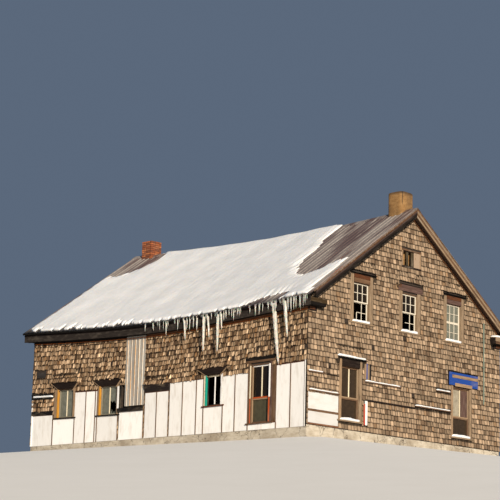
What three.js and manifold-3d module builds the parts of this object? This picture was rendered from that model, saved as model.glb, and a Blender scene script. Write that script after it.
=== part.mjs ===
// Old two-storey shingled barn with a swaybacked metal roof.
// Millimetres: X runs along the ridge, Y across it (the front faces -Y), Z is up from the lowest ground.
import * as THREE from "three";
import { mergeVertices } from "three/addons/utils/BufferGeometryUtils.js";
import Module from "manifold-3d";

const wasm = await Module();
wasm.setup();

// Shell
const LENGTH = 13050;
const WIDTH = 9836;
const WALL = 150;
const FOUNDATION_HEIGHT = 430;
const FOUNDATION_THICK = 350;
const GAP = 0.3;

// Solids that are joined run this far into each other, and cutters this far past the faces they cut
const JOIN_LAP = 1;
const CUT_MARGIN = 100;

// Floors: top level and thickness
const GROUND_FLOOR = { top: 550, thick: 119 };
const LOFT_FLOOR = { top: 3100, thick: 180 };
const ATTIC_FLOOR = { top: 5720, thick: 120 };

// Roof
const RIDGE_TOP = 8020;
const SLOPE = 0.693;
const ROOF_THICK = 60;
const EAVE_OVERHANG = 350;
const RAKE_OVERHANG = 330;
const CAP_HALF_WIDTH = 170;
const CAP_THICK = 8;
const SNOW_THICK = 90;
const SNOW_EAVE_SETBACK = 10;
const SNOW_RAKE_SETBACK = 30;
const TRIM_SETBACK = 20;

// Swayback: the middle of the building has sunk, more at the eaves than at the foundation
const SAG = 250;
const SAG_POWER = 1.6;
const SAG_FULL_HEIGHT = 4000;
const BAYS = 18;

// Boxed cornice and its returns on the gables
const SOFFIT = 4080;
const FRIEZE_BOTTOM = 4000;
const FRIEZE_THICK = 22;
const FASCIA_SETBACK = 48;
const RETURN_END = 4160;
const RETURN_TOP = 4290;
const RETURN_REACH = 290;
const BED_BOARD_END = 4500;
const BED_BOARD_BOTTOM = 3950;
const BED_BOARD_THICK = 60;
const RETURN_STEP = 10;

// Boxed rakes
const RAKE_DEPTH = 230;
const RAKE_FASCIA_THICK = 35;
const RAKE_SOFFIT_THICK = 25;
const RAKE_FRIEZE_DEPTH = 150;

// Chimneys: they stand on the attic floor and pass through the roof, and the crown narrows to a share
const CROWN_SHARE = 0.64;
const CHIMNEYS = [
  { name: "right_chimney", x: 5995, y: 80, size: 580, top: 8690, crown: 45, look: "parging" },
  { name: "left_chimney", x: -5945, y: 0, size: 520, top: 8500, crown: 10, look: "brick" },
];

// Window joinery, seen from outside with y into the wall
const LINER = 30;
const LINER_DEPTH = 110;
const CASING_PROUD = 25;
const SASH_BAR = 45;
const SASH_FRONT = 45;
const SASH_BACK = 80;
const PANE_THICK = 5;
const PANE_LAP = 10;
const SILL_PROUD = 60;
const SILL_THICK = 50;
const SILL_LIP = 5;
const SHEET_OVERLAP = 38;

// Window rows: x is the middle of the light, bottom and top are its edges before the building sank
const LOW_ROW = { bottom: 1335, top: 2315 };
const FRONT_WINDOWS = [
  { name: "window_1", x: -4725, width: 800, ...LOW_ROW, mullion: -0.1, rail: null, casing: 90 },
  { name: "window_2", x: -2515, width: 860, ...LOW_ROW, mullion: -0.1, rail: null, casing: 90 },
  { name: "window_3", x: 2505, width: 660, ...LOW_ROW, mullion: 0, rail: null, casing: 90, open: "all" },
  { name: "window_4", x: 4575, width: 840, bottom: 626, top: 2440, mullion: 0.1, rail: 1399, casing: 90 },
];
const UPPER_ROW = { bottom: 3895, top: 5158, width: 777, rail: 4547, mullion: null, casing: 165 };
const GABLE_UPPER = [
  { name: "upper_window_1", x: -2425, ...UPPER_ROW, open: "lower" },
  { name: "upper_window_2", x: 15, ...UPPER_ROW, open: "lower" },
  { name: "upper_window_3", x: 2354, ...UPPER_ROW },
];
const LOWER_ROW = { bottom: 727, mullion: 0 };
const GABLE_LOWER = [
  { name: "lower_window_1", x: -2899, width: 856, ...LOWER_ROW, top: 2409, rail: 1430, casing: 120 },
  { name: "lower_window_2", x: 2795, width: 913, ...LOWER_ROW, top: 2363, rail: 1390, casing: 100 },
];
const HEADER_RISE = 130;
const HEADER_THICK = 30;
const HEADER_LAP = 75;
const HOOD_THICK = 35;
const HOOD_PROUD = 130;

// Other openings
const COVERED_OPENING = { x: -1360, width: 1070, bottom: 1520, top: 2320 };
const COVER_FRAME = { beside: 60, below: 90, above: 60, lapBeside: 20, lapEnds: 10 };
const DOORWAY = { x: 300, width: 1100, top: 2550 };
const ATTIC_OPENING = { x: 70, width: 880, bottom: 6090, top: 6600 };

// Ribbed metal sheet nailed over the covered opening
const SHEET = { x: -1200, width: 950, bottom: 1560, top: 4060, thick: 3, rib: 22, pitch: 229 };
const SHEET_FIRST_RIB = 38;
const SHEET_RIB_FOOT = 62;
const SHEET_RIB_CREST = 28;

// Bare metal in the snow, as outlines in plan (x, y) on the front slope
const BARE_BY_GABLE = [
  [3950, 60], [3860, -900], [4090, -1500], [4020, -2050], [4080, -2700], [4700, -3400],
  [5240, -3580], [5650, -3480], [6120, -3080], [6560, -3040], [6640, -3500], [6700, -4700], [7100, -4700],
  [7100, 60],
];
const BARE_BY_LEFT_CHIMNEY = [
  [-5250, 60], [-5100, -450], [-5350, -900], [-5650, -1280], [-6150, -1510], [-6620, -1400], [-7100, -600],
  [-7100, 60],
];
const BARE_AT_EAVE = [
  [3700, -5600], [3850, -5350], [4330, -5010], [5570, -4780], [5480, -5290], [5300, -5600],
];

const HALF_LENGTH = LENGTH / 2;
const HALF_WIDTH = WIDTH / 2;
const ROOF_PLUMB = ROOF_THICK * Math.hypot(1, SLOPE);
const EAVE_REACH = HALF_WIDTH + EAVE_OVERHANG;
const RAKE_REACH = HALF_LENGTH + RAKE_OVERHANG;
const LONG_END = HALF_LENGTH - WALL - GAP;

const LOOKS = {
  shingles: { color: 0x9a8468 },
  boards: { color: 0x8a6d4f },
  metal: { color: 0x8d8783, roughness: 0.5, metalness: 0.4 },
  snow: { color: 0xf2f1ec },
  plaster: { color: 0xcfc5b0 },
  trim: { color: 0x4a3526 },
  paint: { color: 0xe9e2d2 },
  glass: { color: 0x5c6562, roughness: 0.1 },
  parging: { color: 0xb08a58 },
  brick: { color: 0xa4572f },
};

function material(look) {
  return new THREE.MeshStandardMaterial({ roughness: 0.85, metalness: 0, ...LOOKS[look] });
}

// How far the ridge has sunk at x, as straight lines between the bays, so that neighbours stay in touch
function smoothSag(x) {
  const share = Math.min(1, Math.abs(x) / HALF_LENGTH);
  return SAG * (1 - share ** SAG_POWER);
}

function sagAt(x) {
  const bay = LENGTH / BAYS;
  const left = Math.floor((x + HALF_LENGTH) / bay) * bay - HALF_LENGTH;
  const share = (x - left) / bay;
  return smoothSag(left) * (1 - share) + smoothSag(left + bay) * share;
}

function sagShare(z) {
  const share = (z - FOUNDATION_HEIGHT) / (SAG_FULL_HEIGHT - FOUNDATION_HEIGHT);
  return Math.min(1, Math.max(0, share));
}

function sunk(x, z) {
  return z - sagAt(x) * sagShare(z);
}

function roofTop(y) {
  return RIDGE_TOP - SLOPE * Math.abs(y);
}

function roofUnderside(y) {
  return roofTop(y) - ROOF_PLUMB;
}

// The ends of a piece and every bay line between them
function stations(from, to) {
  const bay = LENGTH / BAYS;
  const list = [from];
  for (let i = 0; i <= BAYS; i += 1) {
    const x = i * bay - HALF_LENGTH;
    if (x > from + JOIN_LAP && x < to - JOIN_LAP) list.push(x);
  }
  list.push(to);
  return list;
}

function outline(points) {
  return new THREE.Shape(points.map(([a, b]) => new THREE.Vector2(a, b)));
}

// A profile of (y, z) points swept along X from one end to the other, sunk with the building
function sweep(points, from, to) {
  const places = stations(from, to);
  const steps = places.length - 1;
  const geometry = new THREE.ExtrudeGeometry(outline(points), { depth: steps, steps, bevelEnabled: false });
  const position = geometry.attributes.position;
  for (let i = 0; i < position.count; i += 1) {
    const x = places[Math.round(position.getZ(i))];
    const y = position.getX(i);
    const z = position.getY(i);
    position.setXYZ(i, x, y, sunk(x, z));
  }
  return geometry;
}

function box(x0, x1, y0, y1, z0, z1) {
  const geometry = new THREE.BoxGeometry(x1 - x0, y1 - y0, z1 - z0);
  return geometry.translate((x0 + x1) / 2, (y0 + y1) / 2, (z0 + z1) / 2);
}

// A profile of (y, z) points drawn straight along X
function bar(points, x0, x1) {
  const geometry = new THREE.ExtrudeGeometry(outline(points), { depth: x1 - x0, bevelEnabled: false });
  const turn = new THREE.Matrix4().makeBasis(
    new THREE.Vector3(0, 1, 0),
    new THREE.Vector3(0, 0, 1),
    new THREE.Vector3(1, 0, 0),
  );
  return geometry.applyMatrix4(turn).translate(x0, 0, 0);
}

// An upright prism over an outline in plan
function prism(points, z0, z1) {
  const geometry = new THREE.ExtrudeGeometry(outline(points), { depth: z1 - z0, bevelEnabled: false });
  return geometry.translate(0, 0, z0);
}

function solid(geometry) {
  const bare = geometry.clone();
  bare.deleteAttribute("normal");
  bare.deleteAttribute("uv");
  const merged = mergeVertices(bare, 1e-3);
  return new wasm.Manifold(
    new wasm.Mesh({
      numProp: 3,
      vertProperties: merged.attributes.position.array,
      triVerts: new Uint32Array(merged.index.array),
    }),
  );
}

function geometryOf(made) {
  const { vertProperties, triVerts } = made.getMesh();
  const geometry = new THREE.BufferGeometry();
  geometry.setAttribute("position", new THREE.BufferAttribute(vertProperties, 3));
  geometry.setIndex(new THREE.BufferAttribute(triVerts, 1));
  geometry.computeVertexNormals();
  return geometry;
}

function join(geometries) {
  return geometryOf(geometries.map(solid).reduce((all, next) => all.add(next)));
}

function cut(geometry, cutters) {
  return geometryOf(cutters.map(solid).reduce((left, cutter) => left.subtract(cutter), solid(geometry)));
}

function piece(name, geometry, look) {
  const mesh = new THREE.Mesh(geometry, look);
  mesh.name = name;
  return mesh;
}

// Each wall is built as if it faced -Y, and its group turns it to its side
function side(turn) {
  const group = new THREE.Group();
  group.rotation.z = turn;
  return group;
}

// Moves what belongs to an opening at (x, z) down and aslant with the sunken wall round it
function sinkWith(geometry, x, z, sags) {
  if (!sags) return geometry;
  const reach = 100;
  const slope = (sunk(x + reach, z) - sunk(x - reach, z)) / (2 * reach);
  const drop = sunk(x, z) - z;
  const shear = new THREE.Matrix4().set(1, 0, 0, 0, 0, 1, 0, 0, slope, 0, 1, drop - slope * x, 0, 0, 0, 1);
  return geometry.applyMatrix4(shear);
}

// Moves each corner of a tall thin piece down with the wall
function sinkEach(geometry) {
  const position = geometry.attributes.position;
  for (let i = 0; i < position.count; i += 1) position.setZ(i, sunk(position.getX(i), position.getZ(i)));
  return geometry;
}

function mirrored(opening, flip) {
  return { ...opening, x: opening.x * flip };
}

function holeFor(opening, face, sags, liner = LINER) {
  const half = opening.width / 2 + liner;
  const front = face - CUT_MARGIN;
  const back = face + WALL + CUT_MARGIN;
  const { x, bottom, top } = opening;
  const cutter = box(x - half, x + half, front, back, bottom - liner, top + liner);
  return sinkWith(cutter, x, (bottom + top) / 2, sags);
}

// A flat ring in the wall plane: outer and inner half widths and edges, between two depths
function ring(x, outer, inner, y0, y1) {
  const plate = box(x - outer.half, x + outer.half, y0, y1, outer.bottom, outer.top);
  const front = y0 - CUT_MARGIN;
  const back = y1 + CUT_MARGIN;
  const hole = box(x - inner.half, x + inner.half, front, back, inner.bottom, inner.top);
  return cut(plate, [hole]);
}

function edges(opening, grow) {
  return { half: opening.width / 2 + grow, bottom: opening.bottom - grow, top: opening.top + grow };
}

// Casing, liner, sash bars, sill, header board and hood of one window, as one piece of joinery
function windowFrame(opening, face) {
  const { x, bottom, top, width, casing } = opening;
  const half = width / 2;
  const proud = face - CASING_PROUD;
  const sashFront = face + SASH_FRONT;
  const sashBack = face + SASH_BACK;
  const liner = ring(x, edges(opening, LINER - GAP), edges(opening, 0), proud, face + LINER_DEPTH);
  const trim = ring(x, edges(opening, casing), edges(opening, 0), proud, face - GAP);
  const sash = ring(x, edges(opening, JOIN_LAP), edges(opening, -SASH_BAR), sashFront, sashBack);
  const parts = [liner, trim, sash];
  if (opening.rail) {
    const railBottom = opening.rail - SASH_BAR / 2;
    parts.push(box(x - half, x + half, sashFront, sashBack, railBottom, railBottom + SASH_BAR));
  }
  if (opening.mullion !== null) {
    const at = x + opening.mullion * width;
    const from = opening.rail ?? bottom;
    parts.push(box(at - SASH_BAR / 2, at + SASH_BAR / 2, sashFront, sashBack, from, top));
  }
  const wide = half + casing + HEADER_LAP;
  const sillTop = bottom + SILL_LIP;
  parts.push(box(x - wide, x + wide, face - SILL_PROUD, face - GAP, sillTop - SILL_THICK, sillTop));
  const headerBottom = top + casing - JOIN_LAP;
  const headerTop = top + casing + HEADER_RISE;
  const hoodBottom = headerTop - JOIN_LAP;
  parts.push(box(x - wide, x + wide, face - HEADER_THICK, face - GAP, headerBottom, headerTop));
  const hood = [
    [face - GAP, hoodBottom],
    [face - GAP, headerTop + 2 * HOOD_THICK],
    [face - HOOD_PROUD, headerTop + HOOD_THICK],
    [face - HOOD_PROUD, hoodBottom],
  ];
  parts.push(bar(hood, x - wide, x + wide));
  return join(parts);
}

function windowPane(opening, face) {
  const { x, width, bottom, top, rail } = opening;
  const half = width / 2 - SASH_BAR + PANE_LAP;
  const from = opening.open === "lower" ? rail - PANE_LAP : bottom + SASH_BAR - PANE_LAP;
  const y = face + SASH_BACK + GAP;
  return box(x - half, x + half, y, y + PANE_THICK, from, top - SASH_BAR + PANE_LAP);
}

function addWindow(group, prefix, opening, face, sags, glazed) {
  const middle = (opening.bottom + opening.top) / 2;
  const frame = sinkWith(windowFrame(opening, face), opening.x, middle, sags);
  group.add(piece(`${prefix}_${opening.name}_frame`, frame, material("paint")));
  if (!glazed || opening.open === "all") return;
  const pane = sinkWith(windowPane(opening, face), opening.x, middle, sags);
  group.add(piece(`${prefix}_${opening.name}_pane`, pane, material("glass")));
}

// One sheet of glass inside the wall that closes several windows of a hidden side
function glassSheet(name, openings, face, sags) {
  const lefts = openings.map((o) => o.x - o.width / 2);
  const rights = openings.map((o) => o.x + o.width / 2);
  const x0 = Math.min(...lefts) - SHEET_OVERLAP;
  const x1 = Math.max(...rights) + SHEET_OVERLAP;
  const bottom = Math.min(...openings.map((o) => o.bottom)) - SHEET_OVERLAP;
  const top = Math.max(...openings.map((o) => o.top)) + SHEET_OVERLAP;
  const y = face + WALL + GAP;
  const flat = box(x0, x1, y, y + PANE_THICK, bottom, top);
  const sheet = sinkWith(flat, (x0 + x1) / 2, (bottom + top) / 2, sags);
  return piece(name, sheet, material("glass"));
}

function longWallProfile(bottom = FOUNDATION_HEIGHT + GAP) {
  const outer = -HALF_WIDTH;
  const inner = outer + WALL;
  return [
    [outer, bottom],
    [inner, bottom],
    [inner, roofUnderside(inner) - GAP],
    [outer, roofUnderside(outer) - GAP],
  ];
}

function frontSide() {
  const group = side(0);
  const face = -HALF_WIDTH;
  const holes = FRONT_WINDOWS.map((o) => holeFor(o, face, true));
  holes.push(holeFor(COVERED_OPENING, face, true, 0));
  const wall = cut(sweep(longWallProfile(), -LONG_END, LONG_END), holes);
  group.add(piece("front_wall", wall, material("shingles")));
  FRONT_WINDOWS.forEach((o) => addWindow(group, "front", o, face, true, true));
  return group;
}

// The hidden long side repeats the windows, and has an open doorway where the front has its covered opening
function backSide() {
  const group = side(Math.PI);
  const face = -HALF_WIDTH;
  const windows = FRONT_WINDOWS.map((o) => mirrored(o, -1));
  const holes = windows.map((o) => holeFor(o, face, true));
  const doorLeft = DOORWAY.x - DOORWAY.width / 2;
  const doorRight = DOORWAY.x + DOORWAY.width / 2;
  const left = cut(sweep(longWallProfile(), -LONG_END, doorLeft), holes.slice(2));
  const right = cut(sweep(longWallProfile(), doorRight, LONG_END), holes.slice(0, 2));
  const over = sweep(longWallProfile(DOORWAY.top), doorLeft + GAP, doorRight - GAP);
  const shingles = material("shingles");
  group.add(piece("back_wall_left", left, shingles));
  group.add(piece("back_wall_right", right, shingles));
  group.add(piece("back_wall_over_doorway", over, shingles));
  windows.forEach((o) => addWindow(group, "back", o, face, true, false));
  group.add(glassSheet("back_right_glass", windows.slice(0, 2), face, true));
  group.add(glassSheet("back_left_glass", windows.slice(3), face, true));
  return group;
}

function gableProfile() {
  const top = roofUnderside(HALF_WIDTH) - GAP;
  return [
    [-HALF_WIDTH, FOUNDATION_HEIGHT + GAP],
    [HALF_WIDTH, FOUNDATION_HEIGHT + GAP],
    [HALF_WIDTH, top],
    [0, roofUnderside(0) - GAP],
    [-HALF_WIDTH, top],
  ];
}

// The gable wall follows the first bay's slight fall, so it is swept in place and then turned to face -Y
function gableWall(holes) {
  const swept = sweep(gableProfile(), HALF_LENGTH - WALL, HALF_LENGTH);
  return cut(swept.rotateZ(-Math.PI / 2), holes);
}

function gableSide(name, turn, flip) {
  const group = side(turn);
  const face = -HALF_LENGTH;
  const upper = GABLE_UPPER.map((o) => mirrored(o, flip));
  const lower = GABLE_LOWER.map((o) => mirrored(o, flip));
  const openings = [...upper, ...lower];
  const holes = openings.map((o) => holeFor(o, face, false));
  holes.push(holeFor(mirrored(ATTIC_OPENING, flip), face, false, 0));
  group.add(piece(`${name}_gable_wall`, gableWall(holes), material("shingles")));
  const shown = flip === 1;
  openings.forEach((o) => addWindow(group, name, o, face, false, shown));
  if (!shown) {
    group.add(glassSheet(`${name}_upper_glass`, upper, face, false));
    group.add(glassSheet(`${name}_lower_glass`, lower, face, false));
  }
  return group;
}

// The ribbed metal sheet: a pan with upright trapezoid ribs, as a profile in plan
function ribbedSheet() {
  const face = -HALF_WIDTH - CASING_PROUD - GAP;
  const { x, width, thick, rib, pitch, bottom, top } = SHEET;
  const left = x - width / 2;
  const outer = [[left, face - thick]];
  const inner = [[left, face]];
  for (let at = left + SHEET_FIRST_RIB; at < left + width - SHEET_RIB_FOOT; at += pitch) {
    const crest = at + (SHEET_RIB_FOOT - SHEET_RIB_CREST) / 2;
    outer.push([at, face - thick], [crest, face - thick - rib]);
    outer.push([crest + SHEET_RIB_CREST, face - thick - rib], [at + SHEET_RIB_FOOT, face - thick]);
    inner.push([at + thick, face], [crest + thick, face - rib]);
    inner.push([crest + SHEET_RIB_CREST - thick, face - rib], [at + SHEET_RIB_FOOT - thick, face]);
  }
  outer.push([left + width, face - thick]);
  inner.push([left + width, face]);
  return sinkEach(prism([...outer, ...inner.reverse()], bottom, top));
}

// Boards round the covered opening, which carry the sheet clear of the shingles
function openingFrame() {
  const { x, width, bottom, top } = COVERED_OPENING;
  const face = -HALF_WIDTH;
  const { beside, below, above, lapBeside, lapEnds } = COVER_FRAME;
  const outer = { half: width / 2 + beside, bottom: bottom - below, top: top + above };
  const inner = { half: width / 2 - lapBeside, bottom: bottom + lapEnds, top: top - lapEnds };
  const frame = ring(x, outer, inner, face - CASING_PROUD, face - GAP);
  return sinkWith(frame, x, (bottom + top) / 2, true);
}

function foundation() {
  const outer = box(-HALF_LENGTH, HALF_LENGTH, -HALF_WIDTH, HALF_WIDTH, 0, FOUNDATION_HEIGHT);
  const x = HALF_LENGTH - FOUNDATION_THICK;
  const y = HALF_WIDTH - FOUNDATION_THICK;
  return cut(outer, [box(-x, x, -y, y, -CUT_MARGIN, FOUNDATION_HEIGHT + CUT_MARGIN)]);
}

function floorSlab({ top, thick }) {
  const y = HALF_WIDTH - WALL - GAP;
  const profile = [[-y, top - thick], [y, top - thick], [y, top], [-y, top]];
  return sweep(profile, -LONG_END, LONG_END);
}

// The attic floor runs out to the underside of both slopes
function atticFloor() {
  const { top, thick } = ATTIC_FLOOR;
  const reach = (z) => (roofUnderside(0) - GAP - z) / SLOPE;
  const wide = reach(top - thick);
  const narrow = reach(top);
  const profile = [[-wide, top - thick], [wide, top - thick], [narrow, top], [-narrow, top]];
  return sweep(profile, -LONG_END, LONG_END);
}

function chimneyShape({ x, y, size, top, crown }, clearance = 0) {
  const half = size / 2 + clearance;
  const shaft = new THREE.BoxGeometry(2 * half, 2 * half, top - crown - ATTIC_FLOOR.top, 1, 1, 1);
  const middle = (top - crown + ATTIC_FLOOR.top) / 2;
  shaft.translate(x, y, middle);
  const position = shaft.attributes.position;
  for (let i = 0; i < position.count; i += 1) {
    const z = position.getZ(i);
    if (z < middle) position.setZ(i, sunk(position.getX(i), z) + GAP - clearance);
  }
  return shaft;
}

// The shaft with a low hipped crown of mortar
function chimney(spec) {
  const { x, y, size, top, crown } = spec;
  const corner = (size / 2) * Math.SQRT2;
  const height = crown + JOIN_LAP;
  const cap = new THREE.CylinderGeometry(corner * CROWN_SHARE, corner, height, 4);
  cap.rotateX(Math.PI / 2).rotateZ(Math.PI / 4).translate(x, y, top - height / 2);
  return join([chimneyShape(spec), cap]);
}

function chimneyHoles() {
  return CHIMNEYS.map((spec) => chimneyShape(spec, GAP));
}

function roofSlope(flip) {
  const lip = GAP / 2;
  const profile = [
    [-EAVE_REACH, roofUnderside(EAVE_REACH)],
    [-lip, roofUnderside(0)],
    [-lip, roofTop(0)],
    [-EAVE_REACH, roofTop(EAVE_REACH)],
  ];
  const points = flip === 1 ? profile : profile.map(([y, z]) => [-y, z]).reverse();
  return cut(sweep(points, -RAKE_REACH, RAKE_REACH), chimneyHoles());
}

function ridgeCapProfile(half, lift, thick) {
  const low = roofTop(half) + lift;
  const high = roofTop(0) + lift;
  const under = [[-half, low], [0, high], [half, low]];
  const over = under.map(([y, z]) => [y, z + thick]);
  return [...under, ...over.reverse()];
}

// The cap runs between the chimneys, with a short length from each chimney out to the rake
function addRidgeCaps(group, look) {
  const profile = ridgeCapProfile(CAP_HALF_WIDTH, GAP, CAP_THICK);
  const [right, left] = CHIMNEYS.map(({ x, size }) => [x - size / 2 - GAP, x + size / 2 + GAP]);
  group.add(piece("ridge_cap", sweep(profile, left[1], right[0]), look));
  group.add(piece("right_end_ridge_cap", sweep(profile, right[1], RAKE_REACH), look));
  group.add(piece("left_end_ridge_cap", sweep(profile, -RAKE_REACH, left[0]), look));
}

// One blanket of snow over both slopes, with bare metal beside the chimneys and at one spot of the eave
function roofSnow() {
  const profile = ridgeCapProfile(EAVE_REACH - SNOW_EAVE_SETBACK, CAP_THICK + 2 * GAP, SNOW_THICK);
  const overSnow = RIDGE_TOP + SNOW_THICK + CUT_MARGIN;
  const outlines = [BARE_BY_GABLE, BARE_BY_LEFT_CHIMNEY, BARE_AT_EAVE];
  const bare = outlines.map((points) => prism(points, 0, overSnow));
  const end = RAKE_REACH - SNOW_RAKE_SETBACK;
  return cut(sweep(profile, -end, end), [...bare, ...chimneyHoles()]);
}

// Frieze, soffit and fascia along the eave as one boxed cornice, with its returns on both gables
function cornice() {
  const face = -HALF_WIDTH - GAP;
  const fascia = -EAVE_REACH + FASCIA_SETBACK;
  const wallStep = face - FRIEZE_THICK;
  const profile = [
    [face, FRIEZE_BOTTOM],
    [face, roofUnderside(face) - GAP],
    [fascia, roofUnderside(fascia) - GAP],
    [fascia, SOFFIT],
    [wallStep, SOFFIT],
    [wallStep, FRIEZE_BOTTOM],
  ];
  const boxEnd = RAKE_REACH - TRIM_SETBACK;
  const parts = [sweep(profile.reverse(), -boxEnd, boxEnd)];
  const corner = face - RETURN_STEP;
  [-1, 1].forEach((end) => {
    const from = end * (HALF_LENGTH + GAP);
    const reach = end * (HALF_LENGTH + RETURN_REACH);
    const bed = end * (HALF_LENGTH + BED_BOARD_THICK);
    const span = (a, b) => [Math.min(a, b), Math.max(a, b)];
    parts.push(box(...span(from, reach), corner, -RETURN_END, SOFFIT, RETURN_TOP));
    parts.push(box(...span(from, bed), corner, -BED_BOARD_END, BED_BOARD_BOTTOM, SOFFIT + JOIN_LAP));
  });
  return join(parts);
}

// Fascia, soffit and frieze of one boxed rake, under the front slope of the right gable
function rakeBoards() {
  const top = (y) => roofUnderside(y) - GAP;
  const low = -HALF_WIDTH + 2 * GAP;
  const high = -GAP / 2;
  const strip = (depth) => [
    [low, top(low) - depth],
    [high, top(high) - depth],
    [high, top(high)],
    [low, top(low)],
  ];
  const inside = HALF_LENGTH + GAP;
  const outside = RAKE_REACH - TRIM_SETBACK;
  return join([
    bar(strip(RAKE_DEPTH), outside - RAKE_FASCIA_THICK, outside),
    bar(strip(RAKE_SOFFIT_THICK), inside, outside - JOIN_LAP),
    bar(strip(RAKE_FRIEZE_DEPTH), inside, inside + RAKE_SOFFIT_THICK),
  ]);
}

function addRakes(group) {
  const look = material("trim");
  const ends = { right: 1, left: -1 };
  const sides = { front: 1, back: -1 };
  Object.entries(ends).forEach(([end, endways]) => {
    Object.entries(sides).forEach(([name, across]) => {
      const boards = piece(`${end}_${name}_rake_boards`, rakeBoards(), look);
      boards.scale.set(endways, across, 1);
      group.add(boards);
    });
  });
}

function addRoof(group) {
  const metal = material("metal");
  const trim = material("trim");
  group.add(piece("front_roof", roofSlope(1), metal));
  group.add(piece("back_roof", roofSlope(-1), metal));
  addRidgeCaps(group, metal);
  group.add(piece("roof_snow", roofSnow(), material("snow")));
  group.add(piece("front_cornice", cornice(), trim));
  const back = piece("back_cornice", cornice(), trim);
  back.rotation.z = Math.PI;
  group.add(back);
}

const barn = new THREE.Group();
barn.add(piece("foundation", foundation(), material("plaster")));
barn.add(piece("ground_floor", floorSlab(GROUND_FLOOR), material("boards")));
barn.add(piece("loft_floor", floorSlab(LOFT_FLOOR), material("boards")));
barn.add(piece("attic_floor", atticFloor(), material("boards")));
barn.add(frontSide());
barn.add(backSide());
barn.add(gableSide("right", Math.PI / 2, 1));
barn.add(gableSide("left", -Math.PI / 2, -1));
barn.add(piece("covered_opening_frame", openingFrame(), material("paint")));
barn.add(piece("metal_sheet", ribbedSheet(), material("metal")));
addRoof(barn);
addRakes(barn);
CHIMNEYS.forEach((spec) => barn.add(piece(spec.name, chimney(spec), material(spec.look))));

export default barn;
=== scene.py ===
import math

import bmesh
import bpy
import numpy as np
from mathutils import Matrix, Vector


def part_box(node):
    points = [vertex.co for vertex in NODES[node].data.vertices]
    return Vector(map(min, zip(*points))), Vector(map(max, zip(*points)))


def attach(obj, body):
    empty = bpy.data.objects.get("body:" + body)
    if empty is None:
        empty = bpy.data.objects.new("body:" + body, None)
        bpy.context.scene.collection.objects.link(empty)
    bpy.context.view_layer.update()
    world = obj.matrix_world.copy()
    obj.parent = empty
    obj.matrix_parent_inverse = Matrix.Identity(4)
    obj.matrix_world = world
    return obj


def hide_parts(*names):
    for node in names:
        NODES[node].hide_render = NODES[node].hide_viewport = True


# Old shingled barn with a swaybacked metal roof under snow, in metres, in the frame of its solids.
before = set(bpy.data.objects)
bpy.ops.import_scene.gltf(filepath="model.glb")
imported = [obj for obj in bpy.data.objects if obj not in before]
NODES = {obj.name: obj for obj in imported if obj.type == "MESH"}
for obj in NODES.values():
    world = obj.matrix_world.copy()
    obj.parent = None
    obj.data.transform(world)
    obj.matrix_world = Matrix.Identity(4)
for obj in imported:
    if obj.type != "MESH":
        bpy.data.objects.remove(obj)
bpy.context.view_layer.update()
rng = np.random.default_rng(11)

# Shell, read from the solids
FOUNDATION_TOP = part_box("foundation")[1].z
HALF_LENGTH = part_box("foundation")[1].x
HALF_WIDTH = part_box("foundation")[1].y
EAVE_REACH = -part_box("front_roof")[0].y
RAKE_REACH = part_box("front_roof")[1].x
FACES = {"front": (0.0, HALF_WIDTH), "back": (math.pi, HALF_WIDTH),
         "right": (math.pi / 2, HALF_LENGTH), "left": (-math.pi / 2, HALF_LENGTH)}

# Swayback and roof slope, as in the solids
SAG = 0.25
SAG_POWER = 1.6
SAG_FULL = 4.0
BAYS = 18
RIDGE = 8.02
SLOPE = 0.693
ROOF_THICK = 0.06
ROOF_PLUMB = ROOF_THICK * math.hypot(1, SLOPE)
BAY_X = np.linspace(-HALF_LENGTH, HALF_LENGTH, BAYS + 1)
BAY_SAG = SAG * (1 - np.abs(BAY_X / HALF_LENGTH) ** SAG_POWER)

# Boxed cornice and rakes
SOFFIT = 4.08
FRIEZE_BOTTOM = 4.0
FASCIA_OUT = EAVE_REACH - HALF_WIDTH - 0.048
RAKE_OUT = RAKE_REACH - HALF_LENGTH - 0.02

# Window joinery
LINER = 0.03
LINER_DEPTH = 0.11
PROUD = 0.025
SASH = (-0.08, -0.045)
SASH_BAR = 0.045
SLIM_BAR = 0.036
PANE = (-0.0853, -0.0803)
PANE_EDGE = 0.035
HEADER_GAP = 0.012
HEADER_RISE = 0.13
HEADER_LAP = 0.075
HOOD_OUT = 0.13
HOOD_FALL = -0.27
SILL_OUT = 0.06
SILL_FALL = -0.14

# Camera, solved from the photograph's corner, eave, ridge and rake lines, and the low sun
CAMERA_PLACE = (44.216, -46.647, -5.797)
CAMERA_AZIMUTH = 43.975
CAMERA_PITCH = 11.648
CAMERA_ROLL = 1.554
CAMERA_LENS = 133.25
SUN_AZIMUTH = 58
SUN_HEIGHT = 15


def rgb(code):
    """A colour written as 0xRRGGBB, as the linear values that shaders take."""
    parts = [((code >> shift) & 255) / 255 for shift in (16, 8, 0)]
    return tuple(c / 12.92 if c <= 0.04045 else ((c + 0.055) / 1.055) ** 2.4 for c in parts)


CREAM = rgb(0xD9CDB2)
WHITE = rgb(0xE9E8E6)
BROWN = rgb(0x5E4735)
DARK = rgb(0x1E1613)
BLACK = rgb(0x120F0D)
TAN = rgb(0x8A735B)
GREY_TAN = rgb(0x826F5A)
RED_BROWN = rgb(0x53301F)
PURPLE_BROWN = rgb(0x54413B)
OLIVE = rgb(0x372B1B)
RUST = rgb(0x9C5423)
RUST_BROWN = rgb(0x4E2E1C)
FRIEZE_BROWN = rgb(0x6A4630)
RAKE_BROWN = rgb(0x3A2F2C)
SOFFIT_ORANGE = rgb(0xB87848)
SOFFIT_BROWN = rgb(0x5C463A)
SHUTTER_TAN = rgb(0x988470)
DARK_OLIVE = rgb(0x40382A)
# The gables' white panels: a greyer copy of the white paint, painted shade because that wall takes more sun
SHADED_PANEL_WHITE = rgb(0xC4C4C3)
FASCIA_DARK = rgb(0x2A2522)
YELLOW = rgb(0xB9822C)
ORANGE_RED = rgb(0xA9491F)
TEAL = rgb(0x12917E)
BLUE = rgb(0x1F4088)
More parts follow.
